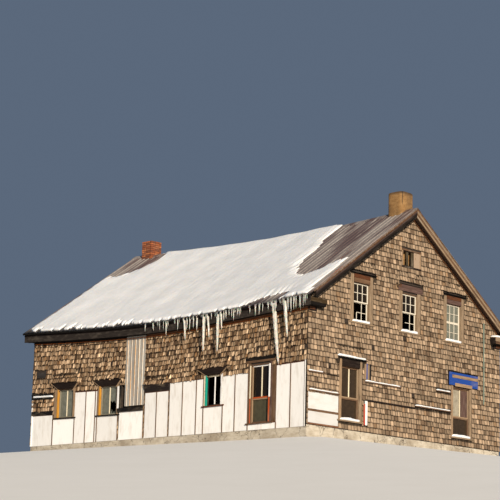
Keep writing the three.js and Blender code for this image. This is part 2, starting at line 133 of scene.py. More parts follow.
SASH_WHITE = rgb(0xCDC6B6)
RED = rgb(0xA02A18)
SASH_GREY = rgb(0x7A7668)
FELT = rgb(0x2F2C2B)
PIPE_GREEN = rgb(0x7C8C80)
STRAP_GREEN = rgb(0x6C7468)
BRICKS = [rgb(code) for code in (0x96542F, 0x804426, 0xA8663C, 0x6E3F2A, 0x8C563A)]
BARE_COLOURS = (TAN, GREY_TAN, BROWN, PURPLE_BROWN)


def joined(x, y, z):
    """Three coordinates as one array of points."""
    return np.stack(np.broadcast_arrays(x, y, z), -1)


def about(middle, half):
    """A stretch with its middle at a place."""
    return middle - half, middle + half


def between(way, a, b, start=0.0):
    """A stretch counted from a start to one hand, its lesser end first."""
    return sorted((start + way * a, start + way * b))


def circle(sides):
    """Cosines and sines of the corners of a ring."""
    angle = np.linspace(0, 2 * math.pi, sides, endpoint=False)
    return np.cos(angle), np.sin(angle)


def sag(x):
    return np.interp(x, BAY_X, BAY_SAG)


def sunk(x, z):
    """A height after the swayback, which grows from the foundation to the eave."""
    share = np.clip((z - FOUNDATION_TOP) / (SAG_FULL - FOUNDATION_TOP), 0, 1)
    return z - sag(x) * share


def roof_top(y):
    return RIDGE - SLOPE * np.abs(y)


def smooth(edge0, edge1, value):
    t = np.clip((value - edge0) / (edge1 - edge0), 0, 1)
    return t * t * (3 - 2 * t)


def ripple(a, b, seed, scale):
    """Smooth seeded unevenness from -1 to 1 over two coordinates."""
    total = np.zeros(np.broadcast(a, b).shape)
    turn = np.random.default_rng(seed)
    for octave in range(5):
        fa, fb = turn.normal(0, scale * 1.7 ** octave, 2)
        total = total + np.sin(a * fa + b * fb + turn.uniform(0, 6.28)) * 0.75 ** octave
    return total / 3.05


def wall(side, at=None):
    """Maps u along a wall seen from outside, d out of its face and v up, onto the sunken building."""
    turn, face = FACES[side]
    c, s = math.cos(turn), math.sin(turn)

    def flat(u, d):
        return u * c + (face + d) * s, u * s - (face + d) * c

    if at:
        middle, height = at
        fall = float(sunk(flat(middle, 0)[0], height)) - height
        left, right = (float(sunk(flat(middle + step, 0)[0], height)) for step in (-0.1, 0.1))
        lean = (right - left) / 0.2

    def place(u, d, v):
        x, y = flat(u, d)
        return joined(x, y, v + fall + lean * (u - middle) if at else sunk(x, v))

    return place


def window_place(side, opening):
    """The wall's mapping round one window, which leans as a whole and stays straight."""
    return wall(side, (opening["u"], (opening["bottom"] + opening["top"]) / 2))


def shear_side(place, foot, slope):
    """The same place, moving sideways with the height."""
    return lambda u, d, v: place(u + (v - foot) * slope, d, v)


def shear_out(place, foot, slope):
    """The same place, leaning out more the higher it goes."""
    return lambda u, d, v: place(u, d + (v - foot) * slope, v)


def shear_up(place, slope):
    """The same place, rising or falling with the distance out of the wall."""
    return lambda u, d, v: place(u, d, v + d * slope)


def widen(place, middle, foot, rate):
    """The same place, growing wider about its middle with the height."""
    return lambda u, d, v: place(middle + (u - middle) * (1 + (v - foot) * rate), d, v)


def linked(name, data):
    """A new object in the scene."""
    made = bpy.data.objects.new(name, data)
    bpy.context.scene.collection.objects.link(made)
    return made


class Solids:
    """Closed solids for one mesh, with a colour and a place in the grain at each corner."""

    def __init__(self):
        self.points, self.tints, self.grains, self.polys = [], [], [], []
        self.count = 0

    def add(self, points, polys, tint, grain):
        points = np.asarray(points, float).reshape(-1, 3)
        self.points.append(points)
        self.tints.append(np.broadcast_to(tint, (len(points), 4)))
        self.grains.append(np.asarray(grain, float).reshape(-1, 3))
        self.polys += [np.asarray(p) + self.count for p in polys]
        self.count += len(points)

    def tube(self, rings, tint, grain):
        """Rings of equally many points, joined in turn and closed at both ends."""
        rows, sides = rings.shape[:2]
        index = np.arange(rows * sides).reshape(rows, sides)
        a, b = index[:-1], index[1:]
        quads = np.stack([a, np.roll(a, -1, 1), np.roll(b, -1, 1), b], -1).reshape(-1, 4)
        self.add(rings, [quads, index[:1, ::-1], index[-1:]], tint, grain)

    def board(self, place, u, d, v, colour, wear=0.3, along="u", steps=None, bow=0.0, bevel=0.004):
        """A board between two values of u, d and v, with eased edges and grain along its length."""
        spans = {"u": u, "d": d, "v": v}
        across = [axis for axis in "udv" if axis != along]
        start, end = spans[along]
        half = [(spans[axis][1] - spans[axis][0]) / 2 for axis in across]
        middle = [(spans[axis][1] + spans[axis][0]) / 2 for axis in across]
        ease = min(bevel, 0.3 * min(half), 0.3 * (end - start))
        steps = steps or max(1, round((end - start) / 0.7))
        inner = np.linspace(start + ease, end - ease, steps + 1)
        places = np.concatenate([[start], inner, [end]])
        shrink = np.where((places == start) | (places == end), ease, 0)[:, None]
        corner = np.array([(1, -1), (1, 1), (-1, 1), (-1, -1)]).repeat(2, 0)
        cut = np.array([(1, 0), (0, 1), (0, 1), (1, 0), (1, 0), (0, 1), (0, 1), (1, 0)])
        values = {along: np.broadcast_to(places[:, None], (len(places), 8))}
        for i, axis in enumerate(across):
            reach = half[i] - shrink - ease * cut[:, i]
            values[axis] = middle[i] + corner[:, i] * reach
        share = (places - start) / (end - start)
        values["d"] = values["d"] + (bow * 4 * share * (1 - share))[:, None]
        rings = place(values["u"], values["d"], values["v"])
        offset = rng.uniform(0, 40, 3)
        grain = joined(values[along], values[across[0]], values[across[1]]) + offset
        shade = rng.uniform(0.9, 1.08)
        self.tube(rings, (*[c * shade for c in colour], wear), grain)

    def boards(self, place, rows, flip=1):
        """Boards in turn, each as its u, d and v, colour, wear and direction, turned where flip is -1."""
        for u, *rest in rows:
            self.board(place, between(flip, *u), *rest)

    def pane(self, place, outline):
        """A sheet of glass with a free outline in u and v."""
        u, v = np.array(outline).T
        rings = np.stack([place(u, depth, v) for depth in PANE])
        self.tube(rings, (1, 1, 1, 0), np.stack([joined(v, u, depth) for depth in PANE]))

    def piece(self, name, look, slot, replaces=(), orient=True, soft=False):
        """The mesh in the scene, with what it is made of and which solids it replaces."""
        mesh = bpy.data.meshes.new(name)
        sizes = np.concatenate([np.full(len(p), p.shape[1]) for p in self.polys])
        loops = np.concatenate([p.ravel() for p in self.polys]).astype(np.int32)
        mesh.vertices.add(self.count)
        mesh.loops.add(len(loops))
        mesh.polygons.add(len(sizes))
        mesh.vertices.foreach_set("co", flat_floats(self.points))
        mesh.loops.foreach_set("vertex_index", loops)
        mesh.polygons.foreach_set("loop_start", (np.cumsum(sizes) - sizes).astype(np.int32))
        mesh.update(calc_edges=True)
        tint = mesh.attributes.new("tint", "FLOAT_COLOR", "POINT")
        tint.data.foreach_set("color", flat_floats(self.tints))
        grain = mesh.attributes.new("grain", "FLOAT_VECTOR", "POINT")
        grain.data.foreach_set("vector", flat_floats(self.grains))
        if orient:
            work = bmesh.new()
            work.from_mesh(mesh)
            bmesh.ops.recalc_face_normals(work, faces=work.faces)
            work.to_mesh(mesh)
            work.free()
        mesh.polygons.foreach_set("use_smooth", np.full(len(mesh.polygons), soft))
        mesh.materials.append(LOOKS[look])
        made = linked(name, mesh)
        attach(made, "root")
        if replaces:
            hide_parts(*replaces)


def flat_floats(parts):
    return np.concatenate(parts).astype(np.float32).ravel()


class Nodes:
    """A material's node tree, with one short call for each kind of node."""

    def __init__(self, name, **constants):
        self.material = bpy.data.materials.new(name)
        self.material.use_nodes = True
        self.tree = self.material.node_tree
        self.tree.nodes.clear()
        self.shader = self.make("BsdfPrincipled", **constants)
        self.put(self.make("OutputMaterial").inputs["Surface"], self.shader.outputs[0])

    def put(self, socket, value):
        """Links an input, or sets it. A colour may be a code."""
        if isinstance(value, bpy.types.NodeSocket):
            self.tree.links.new(value, socket)
        elif socket.type == "RGBA":
            socket.default_value = (*(rgb(value) if isinstance(value, int) else value), 1)
        else:
            socket.default_value = value

    def make(self, kind, **inputs):
        node = self.tree.nodes.new("ShaderNode" + kind)
        for name, value in inputs.items():
            self.put(node.inputs[name.replace("_", " ")], value)
        return node

    def numbered(self, kind, *values, first=0, **settings):
        """A node whose inputs go by number, with settings of its own."""
        node = self.make(kind)
        for name, value in settings.items():
            setattr(node, name, value)
        for i, value in enumerate(values):
            self.put(node.inputs[first + i], value)
        return node

    def attribute(self, name):
        node = self.make("Attribute")
        node.attribute_name = name
        return node.outputs

    def corners(self):
        """Each corner's place in the grain, and its tint."""
        return self.attribute("grain")["Vector"], self.attribute("tint")

    def place(self):
        return self.make("TexCoord").outputs["Object"]

    def stretch(self, vector, scale):
        return self.make("Mapping", Vector=vector, Scale=scale).outputs[0]

    def noise(self, vector, scale, detail=3.0, roughness=0.6):
        """Noise at one scale, or at one for each axis."""
        if isinstance(scale, tuple):
            vector, scale = self.stretch(vector, scale), 1.0
        node = self.make("TexNoise", Vector=vector, Scale=scale, Detail=detail, Roughness=roughness)
        return node.outputs["Fac"]

    def span(self, value, low, high, to_low=0.0, to_high=1.0):
        return self.numbered("MapRange", value, low, high, to_low, to_high).outputs[0]

    def calc(self, operation, a, b=0.0):
        return self.numbered("Math", a, b, operation=operation).outputs[0]

    def times(self, a, b):
        return self.calc("MULTIPLY", a, b)

    def plus(self, a, b):
        return self.calc("ADD", a, b)

    def minus(self, a, b):
        return self.calc("SUBTRACT", a, b)

    def moved(self, vector, by):
        return self.numbered("VectorMath", vector, by).outputs[0]

    def mix(self, share, a, b, mode="MIX"):
        node = self.numbered("Mix", a, b, first=6, data_type="RGBA", blend_type=mode)
        self.put(node.inputs[0], share)
        return node.outputs[2]

    def tinted(self, colour, tint):
        return self.mix(1.0, colour, tint, "MULTIPLY")

    def shade(self, colour, value):
        """The colour made lighter or darker by a value around 1."""
        return self.tinted(colour, self.make("CombineColor", Red=value, Green=value, Blue=value).outputs[0])

    def finish(self, colour, roughness, *bumps):
        """Colour, roughness and a chain of bumps, each a height and a distance in metres."""
        self.put(self.shader.inputs["Base Color"], colour)
        self.put(self.shader.inputs["Roughness"], roughness)
        normal = None
        for height, distance in bumps:
            bump = self.make("Bump", Height=height, Distance=distance, Strength=1.0)
            if normal:
                self.put(bump.inputs["Normal"], normal)
            normal = bump.outputs[0]
        if normal:
            self.put(self.shader.inputs["Normal"], normal)
        return self.material


def bare_wood(name, contrast):
    """Weathered wood in the corners' tint, which on the shingles holds painted shade, silvered where they say
    so, with dark checks.
    """
    n = Nodes(name, Specular_IOR_Level=0.12)
    grain, tint = n.corners()
    fibre = n.noise(grain, (3, 60, 60), 4)
    check = n.span(n.noise(grain, (2.2, 38, 38), 2), 0.62, 0.7)
    blotch = n.span(n.noise(grain, (2.5, 7, 7), 3), 0.5, 0.75, 0, 0.6)
    colour = n.shade(tint["Color"], n.span(fibre, 0.25, 0.75, 1 - contrast, 1 + contrast))
    colour = n.mix(n.times(blotch, tint["Alpha"]), colour, 0x958A7C)
    colour = n.mix(n.times(check, 0.75), colour, 0x17100B)
    return n.finish(colour, n.span(fibre, 0.3, 0.7, 0.75, 0.95), (fibre, 0.0022), (check, -0.003))


def painted_wood(name):
    """Old paint in the corners' own colour, flaking off brown wood where the corners say so."""
    n = Nodes(name, Specular_IOR_Level=0.2)
    grain, tint = n.corners()
    fibre = n.noise(grain, (3, 80, 80), 4)
    patch = n.noise(grain, (4, 16, 16), 5, 0.7)
    bare = n.shade(0x77604C, n.span(fibre, 0.25, 0.75, 0.55, 1.4))
    chip = n.span(n.minus(patch, n.span(tint["Alpha"], 0.0, 1.0, 0.78, 0.3)), 0.0, 0.03)
    dirt = n.noise(grain, (1.6, 5, 5), 4)
    paint = n.shade(tint["Color"], n.span(fibre, 0.2, 0.8, 0.93, 1.04))
    paint = n.mix(n.span(dirt, 0.5, 0.8, 0, 0.4), paint, 0x9C8C74)
    height = n.minus(n.times(fibre, 0.4), chip)
    return n.finish(n.mix(chip, paint, bare), n.span(chip, 0, 1, 0.5, 0.88), (height, 0.0016))


def roof_metal(name, plain, streak, rust):
    """Dull galvanised sheet with stains that run down the slope, and spangle in its gloss."""
    n = Nodes(name, Metallic=0.25)
    grain, tint = n.corners()
    fine = n.noise(grain, (0.5, 24, 1), 4, 0.65)
    wide = n.noise(grain, (0.22, 1.9, 1), 4)
    spots = n.noise(grain, 9.0, 5, 0.7)
    stain = n.span(n.plus(n.times(fine, 0.6), wide), 0.74, 0.88)
    colour = n.shade(plain, n.span(spots, 0.3, 0.7, 0.8, 1.15))
    colour = n.mix(n.times(stain, 0.9), colour, streak)
    worn = n.plus(n.plus(fine, n.times(spots, 0.5)), n.times(tint["Alpha"], 0.3))
    # The corners' tint darkens the colour; on the roof slopes it carries painted shade near the eave
    colour = n.tinted(n.mix(n.span(worn, 0.92, 1.05), colour, rust), tint["Color"])
    return n.finish(colour, n.span(spots, 0.3, 0.7, 0.42, 0.68), (fine, 0.0015), (spots, 0.0008))


def snow_look(name):
    """Settled snow with soft drifts, a faint crust and fine grains."""
    n = Nodes(name, Subsurface_Weight=0.25, Subsurface_Radius=(0.05, 0.04, 0.03), Subsurface_Scale=0.4)
    place = n.place()
    drift = n.noise(place, 1.4, 4)
    grains = n.noise(place, 55.0, 4)
    crust = n.noise(place, (5, 1.5, 1.5), 4)
    colour = n.mix(n.span(drift, 0.35, 0.7), 0xE1E2E4, 0xD4D7DA)
    colour = n.mix(n.span(crust, 0.6, 0.75, 0, 0.12), colour, 0xB4AA9C)
    return n.finish(colour, n.span(grains, 0.3, 0.7, 0.5, 0.75), (crust, 0.02), (grains, 0.003))


def ice_look(name):
    """Clear ice with frosted bands."""
    n = Nodes(name, Transmission_Weight=0.3, IOR=1.31, Subsurface_Weight=0.2, Subsurface_Scale=0.05)
    frost = n.noise(n.place(), (22, 22, 5), 4)
    colour = n.mix(n.span(frost, 0.35, 0.7), 0xE6E2D8, 0xB2B4B0)
    return n.finish(colour, n.span(frost, 0.35, 0.7, 0.12, 0.5), (frost, 0.006))


def glass_look(name, code, share):
    """Old window glass with a dull film, wavy and never quite clean."""
    film = rgb(code)
    n = Nodes(name, Transmission_Weight=share, IOR=1.45, Specular_IOR_Level=0.25)
    place = n.place()
    wave = n.noise(place, (3, 3, 1.2), 2)
    dust = n.noise(place, 7.0, 5, 0.7)
    colour = n.mix(n.span(dust, 0.4, 0.75), film, tuple(0.6 * c for c in film))
    return n.finish(colour, n.span(dust, 0.35, 0.75, 0.06, 0.3), (wave, 0.006))


def masonry(name, light, dark, stain, crack_scale=1.6, crack_share=0.8):
    """A mortar or plaster skin with trowel marks, stains and fine cracks."""
    n = Nodes(name)
    place = n.place()
    wobble = n.make("TexNoise", Vector=place, Scale=4.0, Detail=4.0)
    warped = n.moved(place, n.stretch(wobble.outputs["Color"], (0.5, 0.5, 0.5)))
    cells = n.make("TexVoronoi", Scale=crack_scale)
    cells.feature = "DISTANCE_TO_EDGE"
    n.put(cells.inputs["Vector"], warped)
    crack = n.span(cells.outputs["Distance"], 0.004, 0.014, 1, 0)
    trowel = n.noise(place, (5, 5, 12), 5, 0.65)
    broad = n.noise(place, 1.3, 4)
    colour = n.mix(n.span(trowel, 0.35, 0.7), light, dark)
    colour = n.mix(n.span(broad, 0.48, 0.7, 0, 0.75), colour, stain)
    colour = n.mix(n.times(crack, crack_share), colour, 0x2E241C)
    colour = n.tinted(colour, n.attribute("tint")["Color"])
    grit = n.noise(place, 90.0, 3)
    return n.finish(colour, 0.9, (trowel, 0.012), (grit, 0.002), (crack, -0.0075 * crack_share))


def brick_look(name):
    """Pitted brick, burnt darker in places."""
    n = Nodes(name)
    grain, tint = n.corners()
    pit = n.noise(grain, 45.0, 4, 0.7)
    burn = n.noise(grain, 8.0, 3)
    colour = n.shade(tint["Color"], n.span(pit, 0.3, 0.7, 0.75, 1.2))
    colour = n.mix(n.span(burn, 0.5, 0.75, 0, 0.5), colour, 0x4A352C)
    return n.finish(colour, 0.9, (pit, 0.004))


def board_face(name, light, dark, board, along_x):
    """Sawn boards on a plain face, with a dark joint between each and the next."""
    n = Nodes(name)
    place = n.place()
    across = n.make("SeparateXYZ", Vector=place).outputs["Z" if along_x else "Y"]
    turns = n.calc("DIVIDE", across, board)
    joint = n.span(n.calc("ABSOLUTE", n.minus(n.calc("FRACT", turns), 0.5)), 0.475, 0.495)
    number = n.calc("FLOOR", turns)
    shift = n.make("CombineXYZ", X=number, Y=n.times(number, 3.7), Z=number).outputs[0]
    sawn = n.stretch(place, (1.5, 1.5, 30) if along_x else (1.5, 30, 1.5))
    fibre = n.noise(n.moved(sawn, shift), 1.0, 4)
    colour = n.mix(joint, n.mix(n.span(fibre, 0.3, 0.7), light, dark), 0x0E0B09)
    return n.finish(colour, 0.88, (fibre, 0.003), (joint, -0.008))


LOOKS = {
    "shingle": bare_wood("weathered_shingles", 0.4),
    "trim": bare_wood("dark_weathered_boards", 0.55),
    "paint": painted_wood("flaking_paint"),
    "roof": roof_metal("streaked_roof_metal", 0x9C938C, 0x533F3E, 0x8A5A40),
    "sheet": roof_metal("pale_sheet_metal", 0xB0ABA2, 0x969088, 0xB08A5E),
    "snow": snow_look("settled_snow"),
    "ice": ice_look("icicle_ice"),
    "dark_glass": glass_look("old_window_glass", 0x251D15, 0.3),
    "brown_glass": glass_look("brown_window_glass", 0x3B3024, 0.1),
    "olive_glass": glass_look("olive_window_sheet", 0x4A4636, 0.0),
    "grey_glass": glass_look("clouded_window_glass", 0x6F7167, 0.05),
    "pale_glass": glass_look("pale_window_sheet", 0x98907F, 0.0),
    "plaster": masonry("cream_plaster", 0xBDB5A6, 0x9F9482, 0x7E7261),
    "parging": masonry("tan_mortar_skin", 0x937146, 0x74532B, 0x4C3822, 0.7, 0.0),
    "mortar": masonry("old_mortar", 0x9A8A76, 0x6F6152, 0x4C4038, 4.0),
    "brick": brick_look("chimney_brick"),
    # The wall sheathing is near black, painted shade for the gaps between the shingles
    "sheathing": board_face("wall_sheathing", 0x3A2D23, 0x1E1712, 0.21, True),
    "flooring": board_face("floor_boards", 0x7A6249, 0x4A3A2B, 0.18, False),
}


def under_frieze(u):
    """Where a long wall's shingles end."""
    return np.full(np.shape(u), FRIEZE_BOTTOM + 0.01)


def under_rake(u):
    """Where a gable's shingles end."""
    return roof_top(u) - ROOF_PLUMB - 0.16


# Heights on one shingle in courses, with how much painted shade darkens the wood there, at the butt and just
# under the course above
SHINGLE_ROWS = np.array([(0.0, 0.45), (0.14, 1.1), (0.78, 1.08), (0.98, 0.14), (1.35, 0.12)])
ACROSS = np.array([0.0, 0.5, 1.0])
EXPOSURE = 0.165
BUTT_OUT = 0.030
TIP_OUT = 0.012
BUTT_THICK = (0.009, 0.014)
GABLE_STYLE = {
    "half": HALF_WIDTH + 0.032, "foot": FOUNDATION_TOP + 0.02, "top": under_rake,
    "width": (0.1, 0.19), "ragged": 0.005, "curl": 0.005, "tilt": 0.012, "missing": 0.002,
    "contrast": 0.15, "silver": 0.45, "gap": (0.005, 0.011), "seeds": {"right": 41, "left": 42},
    "colours": [0x8C7863, 0x7B6956, 0x9D8770, 0x655342, 0x826A52], "shares": [0.36, 0.26, 0.2, 0.12, 0.06],
}
LONG_STYLE = {
    "half": HALF_LENGTH - 0.001, "foot": FOUNDATION_TOP, "top": under_frieze,
    "width": (0.045, 0.11), "ragged": 0.015, "curl": 0.01, "tilt": 0.03, "missing": 0.012,
    "contrast": 0.28, "silver": 0.3, "gap": (0.004, 0.011), "seeds": {"front": 31, "back": 32},
    "colours": [0x987F65, 0x7E664D, 0xB69C7F, 0x584433, 0x856546], "shares": [0.34, 0.26, 0.2, 0.15, 0.05],
}


def free_spans(u0, u1, blocks):
    """What is left of u0..u1 between the blocked stretches."""
    spans, at = [], u0
    for b0, b1 in sorted(blocks):
        if b0 > at + 0.02:
            spans.append((at, min(b0, u1)))
        at = max(at, b1)
    if at < u1 - 0.02:
        spans.append((at, u1))
    return spans


def flares_lift(flares, u, z):
    """How far shingles kick outwards over headers and ledges."""
    lift = np.zeros(u.shape)
    for u0, u1, foot, height, out in flares:
        inside = (u > u0) & (u < u1) & (z > foot - 0.09)
        share = 1 - np.clip((z - foot) / height, 0, 1)
        lift = np.maximum(lift, np.where(inside, out * share, 0))
    return lift


def shingle_rows(place, style, blocked, draw):
    """Each shingle's two sides and its foot, course by course, round what stands in the wall."""
    rows = []
    v = style["foot"]
    while v < style["top"](0.0):
        blocks = []
        for u0, u1, z0, z1 in blocked:
            if z0 < place((u0 + u1) / 2, 0, v + EXPOSURE * 0.5)[2] < z1:
                blocks.append((u0, u1))
        for at, end in free_spans(-style["half"], style["half"], blocks):
            while at < end - 0.012:
                width = min(draw.uniform(*style["width"]), end - at)
                if end - at - width < 0.04:
                    width = end - at
                rows.append((at, at + width, v))
                at += width
        v += EXPOSURE
    rows = np.array(rows)
    keep = np.maximum(style["top"](rows[:, 0]), style["top"](rows[:, 1])) > rows[:, 2] + 0.015
    return rows[keep & (draw.random(len(rows)) > style["missing"])]


def shingle_corners(rows, style, draw):
    """Every shingle's corners in u, d and v: three in each row up its face, and its thick back edge."""
    count, ragged, curl = len(rows), style["ragged"], style["curl"]
    u0, u1, foot = rows.T[:, :, None, None]
    foot = foot + draw.normal(0, ragged, count)[:, None, None]
    gap = draw.uniform(*style["gap"], count)[:, None, None]
    rise = SHINGLE_ROWS[:, :1]
    u = u0 + gap + ACROSS * (u1 - u0 - 2 * gap) + 0 * rise
    tilt = draw.normal(0, style["tilt"], count)[:, None, None]
    v = foot + rise * EXPOSURE + 0 * ACROSS
    v += tilt * (u - u.mean((1, 2), keepdims=True))
    v[:, 0] += draw.normal(0, ragged * 0.6, (count, 3))
    lower = 1 - rise / rise[-1]
    butt = BUTT_OUT + np.abs(draw.normal(0, curl, count))[:, None, None]
    cup = np.abs(draw.normal(0, curl * 0.8, (count, 1, 1))) * lower
    d = butt * lower + TIP_OUT * (1 - lower) + cup * np.abs(ACROSS * 2 - 1)
    d[:, 0] += np.abs(draw.normal(0, 0.0012, (count, 3)))
    v = np.minimum(v, style["top"](u))
    back = d[:, 0] - draw.uniform(*BUTT_THICK, (count, 1))
    grids = ((u, u[:, 0]), (d, back), (v, v[:, 0]))
    return [np.concatenate([face.reshape(count, -1), edge], 1) for face, edge in grids]


def shingle_tints(count, style, draw):
    """A tone for each shingle, with painted shade along its butt, under the course above and at its sides."""
    palette = np.array([rgb(code) for code in style["colours"]])
    chosen = palette[draw.choice(len(palette), count, p=style["shares"])]
    shade = np.clip(draw.normal(1.0, style["contrast"], (count, 1)), 0.35, 1.75)
    # Painted shade: each row up the face is darkened, the side edges are darker than the middle, and the back
    # edge is dark
    depth = np.concatenate([np.outer(SHINGLE_ROWS[:, 1], (0.8, 1.08, 0.8)).ravel(), np.full(3, 0.2)])
    tint = np.ones((count, len(depth), 4))
    tint[:, :, :3] = (chosen * shade)[:, None, :]
    tint[:, :, :3] *= depth[None, :, None]
    tint[:, :, 3] = draw.uniform(0, style["silver"], (count, 1))
    return tint


def shingle_faces(count):
    """The quads and the two sides of every shingle."""
    front = 3 * len(SHINGLE_ROWS)
    quads = []
    for corner in (r + c for r in range(0, front - 3, 3) for c in (0, 1)):
        quads.append((corner, corner + 1, corner + 4, corner + 3))
    quads += [(front + c, front + c + 1, c + 1, c) for c in (0, 1)]
    quads += [(front + c + 1, front + c, front - 3 + c, front - 2 + c) for c in (0, 1)]
    sides = [(front, *range(0, front, 3)), (2, front + 2, *range(front - 1, 2, -3))]
    steps = (np.arange(count) * (front + 3))[:, None, None]
    return [(np.array(group)[None] + steps).reshape(-1, len(group[0])) for group in (quads, sides)]


def shingle_wall(side, style, blocked, flares):
    """Courses of split wedges, each lapping the one below, round what stands in the wall."""
    draw = np.random.default_rng(style["seeds"][side])
    place = wall(side)
    rows = shingle_rows(place, style, blocked, draw)
    u, d, v = shingle_corners(rows, style, draw)
    d = d + flares_lift(flares, u, place(u, 0, v)[..., 2])
    tint = shingle_tints(len(rows), style, draw)
    grain = joined(v, u, d) + draw.uniform(0, 60, (len(rows), 1, 3))
    solids = Solids()
    solids.add(place(u, d, v), shingle_faces(len(rows)), tint.reshape(-1, 4), grain)
    solids.piece(f"{side}_shingles", "shingle", "shingles", orient=False)


ROW_LOW = {"bottom": 1.335, "top": 2.315, "casing": 0.09}
FRONT_WINDOWS = [
    {"node": "window_1", "u": -4.725, "width": 0.80, **ROW_LOW, "kind": "grey", "lap": 0.19,
     "outer": (-1, 0.1, TAN)},
    {"node": "window_2", "u": -2.515, "width": 0.86, **ROW_LOW, "kind": "grey", "lap": 0.2},
    {"node": "window_3", "u": 2.505, "width": 0.66, **ROW_LOW, "kind": "open", "lap": 0.25},
    {"node": "window_4", "u": 4.575, "width": 0.84, "bottom": 0.626, "top": 2.44, "rail": 1.399,
     "casing": 0.09, "kind": "tall", "flat": True, "lap": 0.12, "outer": (1, 0.17, BROWN)},
]
ROW_UPPER = {"width": 0.777, "bottom": 3.895, "top": 5.158, "rail": 4.547, "casing": 0.165, "kind": "six"}
GABLE_WINDOWS = [
    {"node": "upper_window_1", "u": -2.425, **ROW_UPPER, "header": (BROWN, RUST_BROWN),
     "lost": [(0, 1), (2, 0)]},
    {"node": "upper_window_2", "u": 0.015, **ROW_UPPER, "header": (PURPLE_BROWN, PURPLE_BROWN),
     "flat": True, "end_block": True, "lost": [(0, 0), (0, 1)]},
    {"node": "upper_window_3", "u": 2.354, **ROW_UPPER, "header": (PURPLE_BROWN, RUST_BROWN), "lost": []},
    {"node": "lower_window_1", "u": -2.899, "width": 0.856, "bottom": 0.727, "top": 2.409,
     "rail": 1.43, "casing": 0.12, "kind": "double", "lap": 0.13},
    {"node": "lower_window_2", "u": 2.795, "width": 0.913, "bottom": 0.727, "top": 2.363,
     "rail": 1.39, "casing": 0.1, "kind": "double", "flat": True},
]
# Each kind's colours, the left side's first on the seen walls, and how far its header leans out.
# A strip has its side, its two heights, its colour, and its reach over the casing and the opening.
JOINERY = {
    "grey": {"casing": (TAN, TAN), "liner": (YELLOW, TAN), "header": (DARK, DARK), "sill": BLACK,
             "bar": CREAM, "lean": 0.3, "stiles": (SASH_GREY, SASH_GREY), "rails": (SASH_GREY, SASH_GREY),
             "strips": [(-1, "bottom", "top", YELLOW, 0.025, 0.035)]},
    "open": {"casing": (CREAM, WHITE), "liner": (TEAL, WHITE), "header": (DARK, DARK), "sill": RED_BROWN,
             "bar": WHITE, "lean": 0.3, "stiles": (BLACK, BLACK), "rails": (BLACK, CREAM),
             "strips": [(-1, "bottom", "top", TEAL, 0.02, 0.035)]},
    "tall": {"casing": (BROWN, PURPLE_BROWN), "header": (BROWN, BLACK), "sill": BROWN, "bar": CREAM,
             "lean": 0.0, "stiles": (TAN, WHITE), "rails": (ORANGE_RED, WHITE),
             "strips": [(-1, "rail", "top", CREAM, 0.02, 0.02),
                        (-1, "bottom", "rail", ORANGE_RED, 0.012, 0.012),
                        (1, "rail", "top", WHITE, 0.02, 0.04),
                        (1, "bottom", "rail", ORANGE_RED, 0.0, 0.05)]},
    "six": {"casing": (GREY_TAN, GREY_TAN), "sill": GREY_TAN, "bar": SASH_WHITE, "lean": 0.0,
            "stiles": (SASH_WHITE, SASH_WHITE), "rails": (SASH_WHITE, SASH_WHITE), "strips": []},
    "double": {"casing": (TAN, GREY_TAN), "header": (DARK, DARK), "sill": GREY_TAN, "bar": CREAM,
               "lean": 0.0, "stiles": (BROWN, GREY_TAN), "rails": (TAN, BROWN), "strips": []},
}


def mirrored(opening, flip):
    """An opening turned to its wall, with the sizes that follow from its own."""
    half, lap = opening["width"] / 2, opening.get("lap", HEADER_LAP)
    wide, head = half + opening["casing"] + lap, opening["top"] + HEADER_GAP
    hood = opening["top"] + opening["casing"] + HEADER_RISE
    return {**opening, "u": opening["u"] * flip, "flip": flip, "half": half, "lap": lap, "wide": wide,
            "head": head, "hood": hood, "spread": (wide - half) / (hood - head)}


def part(ends, i, count):
    return ends[0] + (ends[1] - ends[0]) * i / count


def sash_frame(solids, place, u, v, grid, paint, wear, lost=(), bar=0.022, depth=SASH, rim=SASH_BAR):
    """Stiles, rails and the thin bars between the panes of one sash."""
    columns, rows = grid
    (left, right), (lower, upper), colour = paint
    inner_u = (u[0] + rim, u[1] - rim)
    inner_v = (v[0] + rim, v[1] - rim)
    solids.board(place, (u[0], inner_u[0]), depth, v, left, wear, "v")
    solids.board(place, (inner_u[1], u[1]), depth, v, right, wear, "v")
    solids.board(place, inner_u, depth, (v[0], inner_v[0]), lower, wear)
    solids.board(place, inner_u, depth, (inner_v[1], v[1]), upper, wear)
    slim = (depth[0] + 0.008, depth[1] - 0.006)
    for i in range(1, columns):
        across = about(part(inner_u, i, columns), bar / 2)
        for j in range(rows):
            if (i - 1, j) not in lost:
                span = (part(inner_v, j, rows), part(inner_v, j + 1, rows))
                solids.board(place, across, slim, span, colour, wear, "v")
    for j in range(1, rows):
        across = about(part(inner_v, j, rows), bar / 2)
        for i in range(columns):
            if (i, j) not in lost:
                span = (part(inner_u, i, columns), part(inner_u, i + 1, columns))
                solids.board(place, span, slim, across, colour, wear)


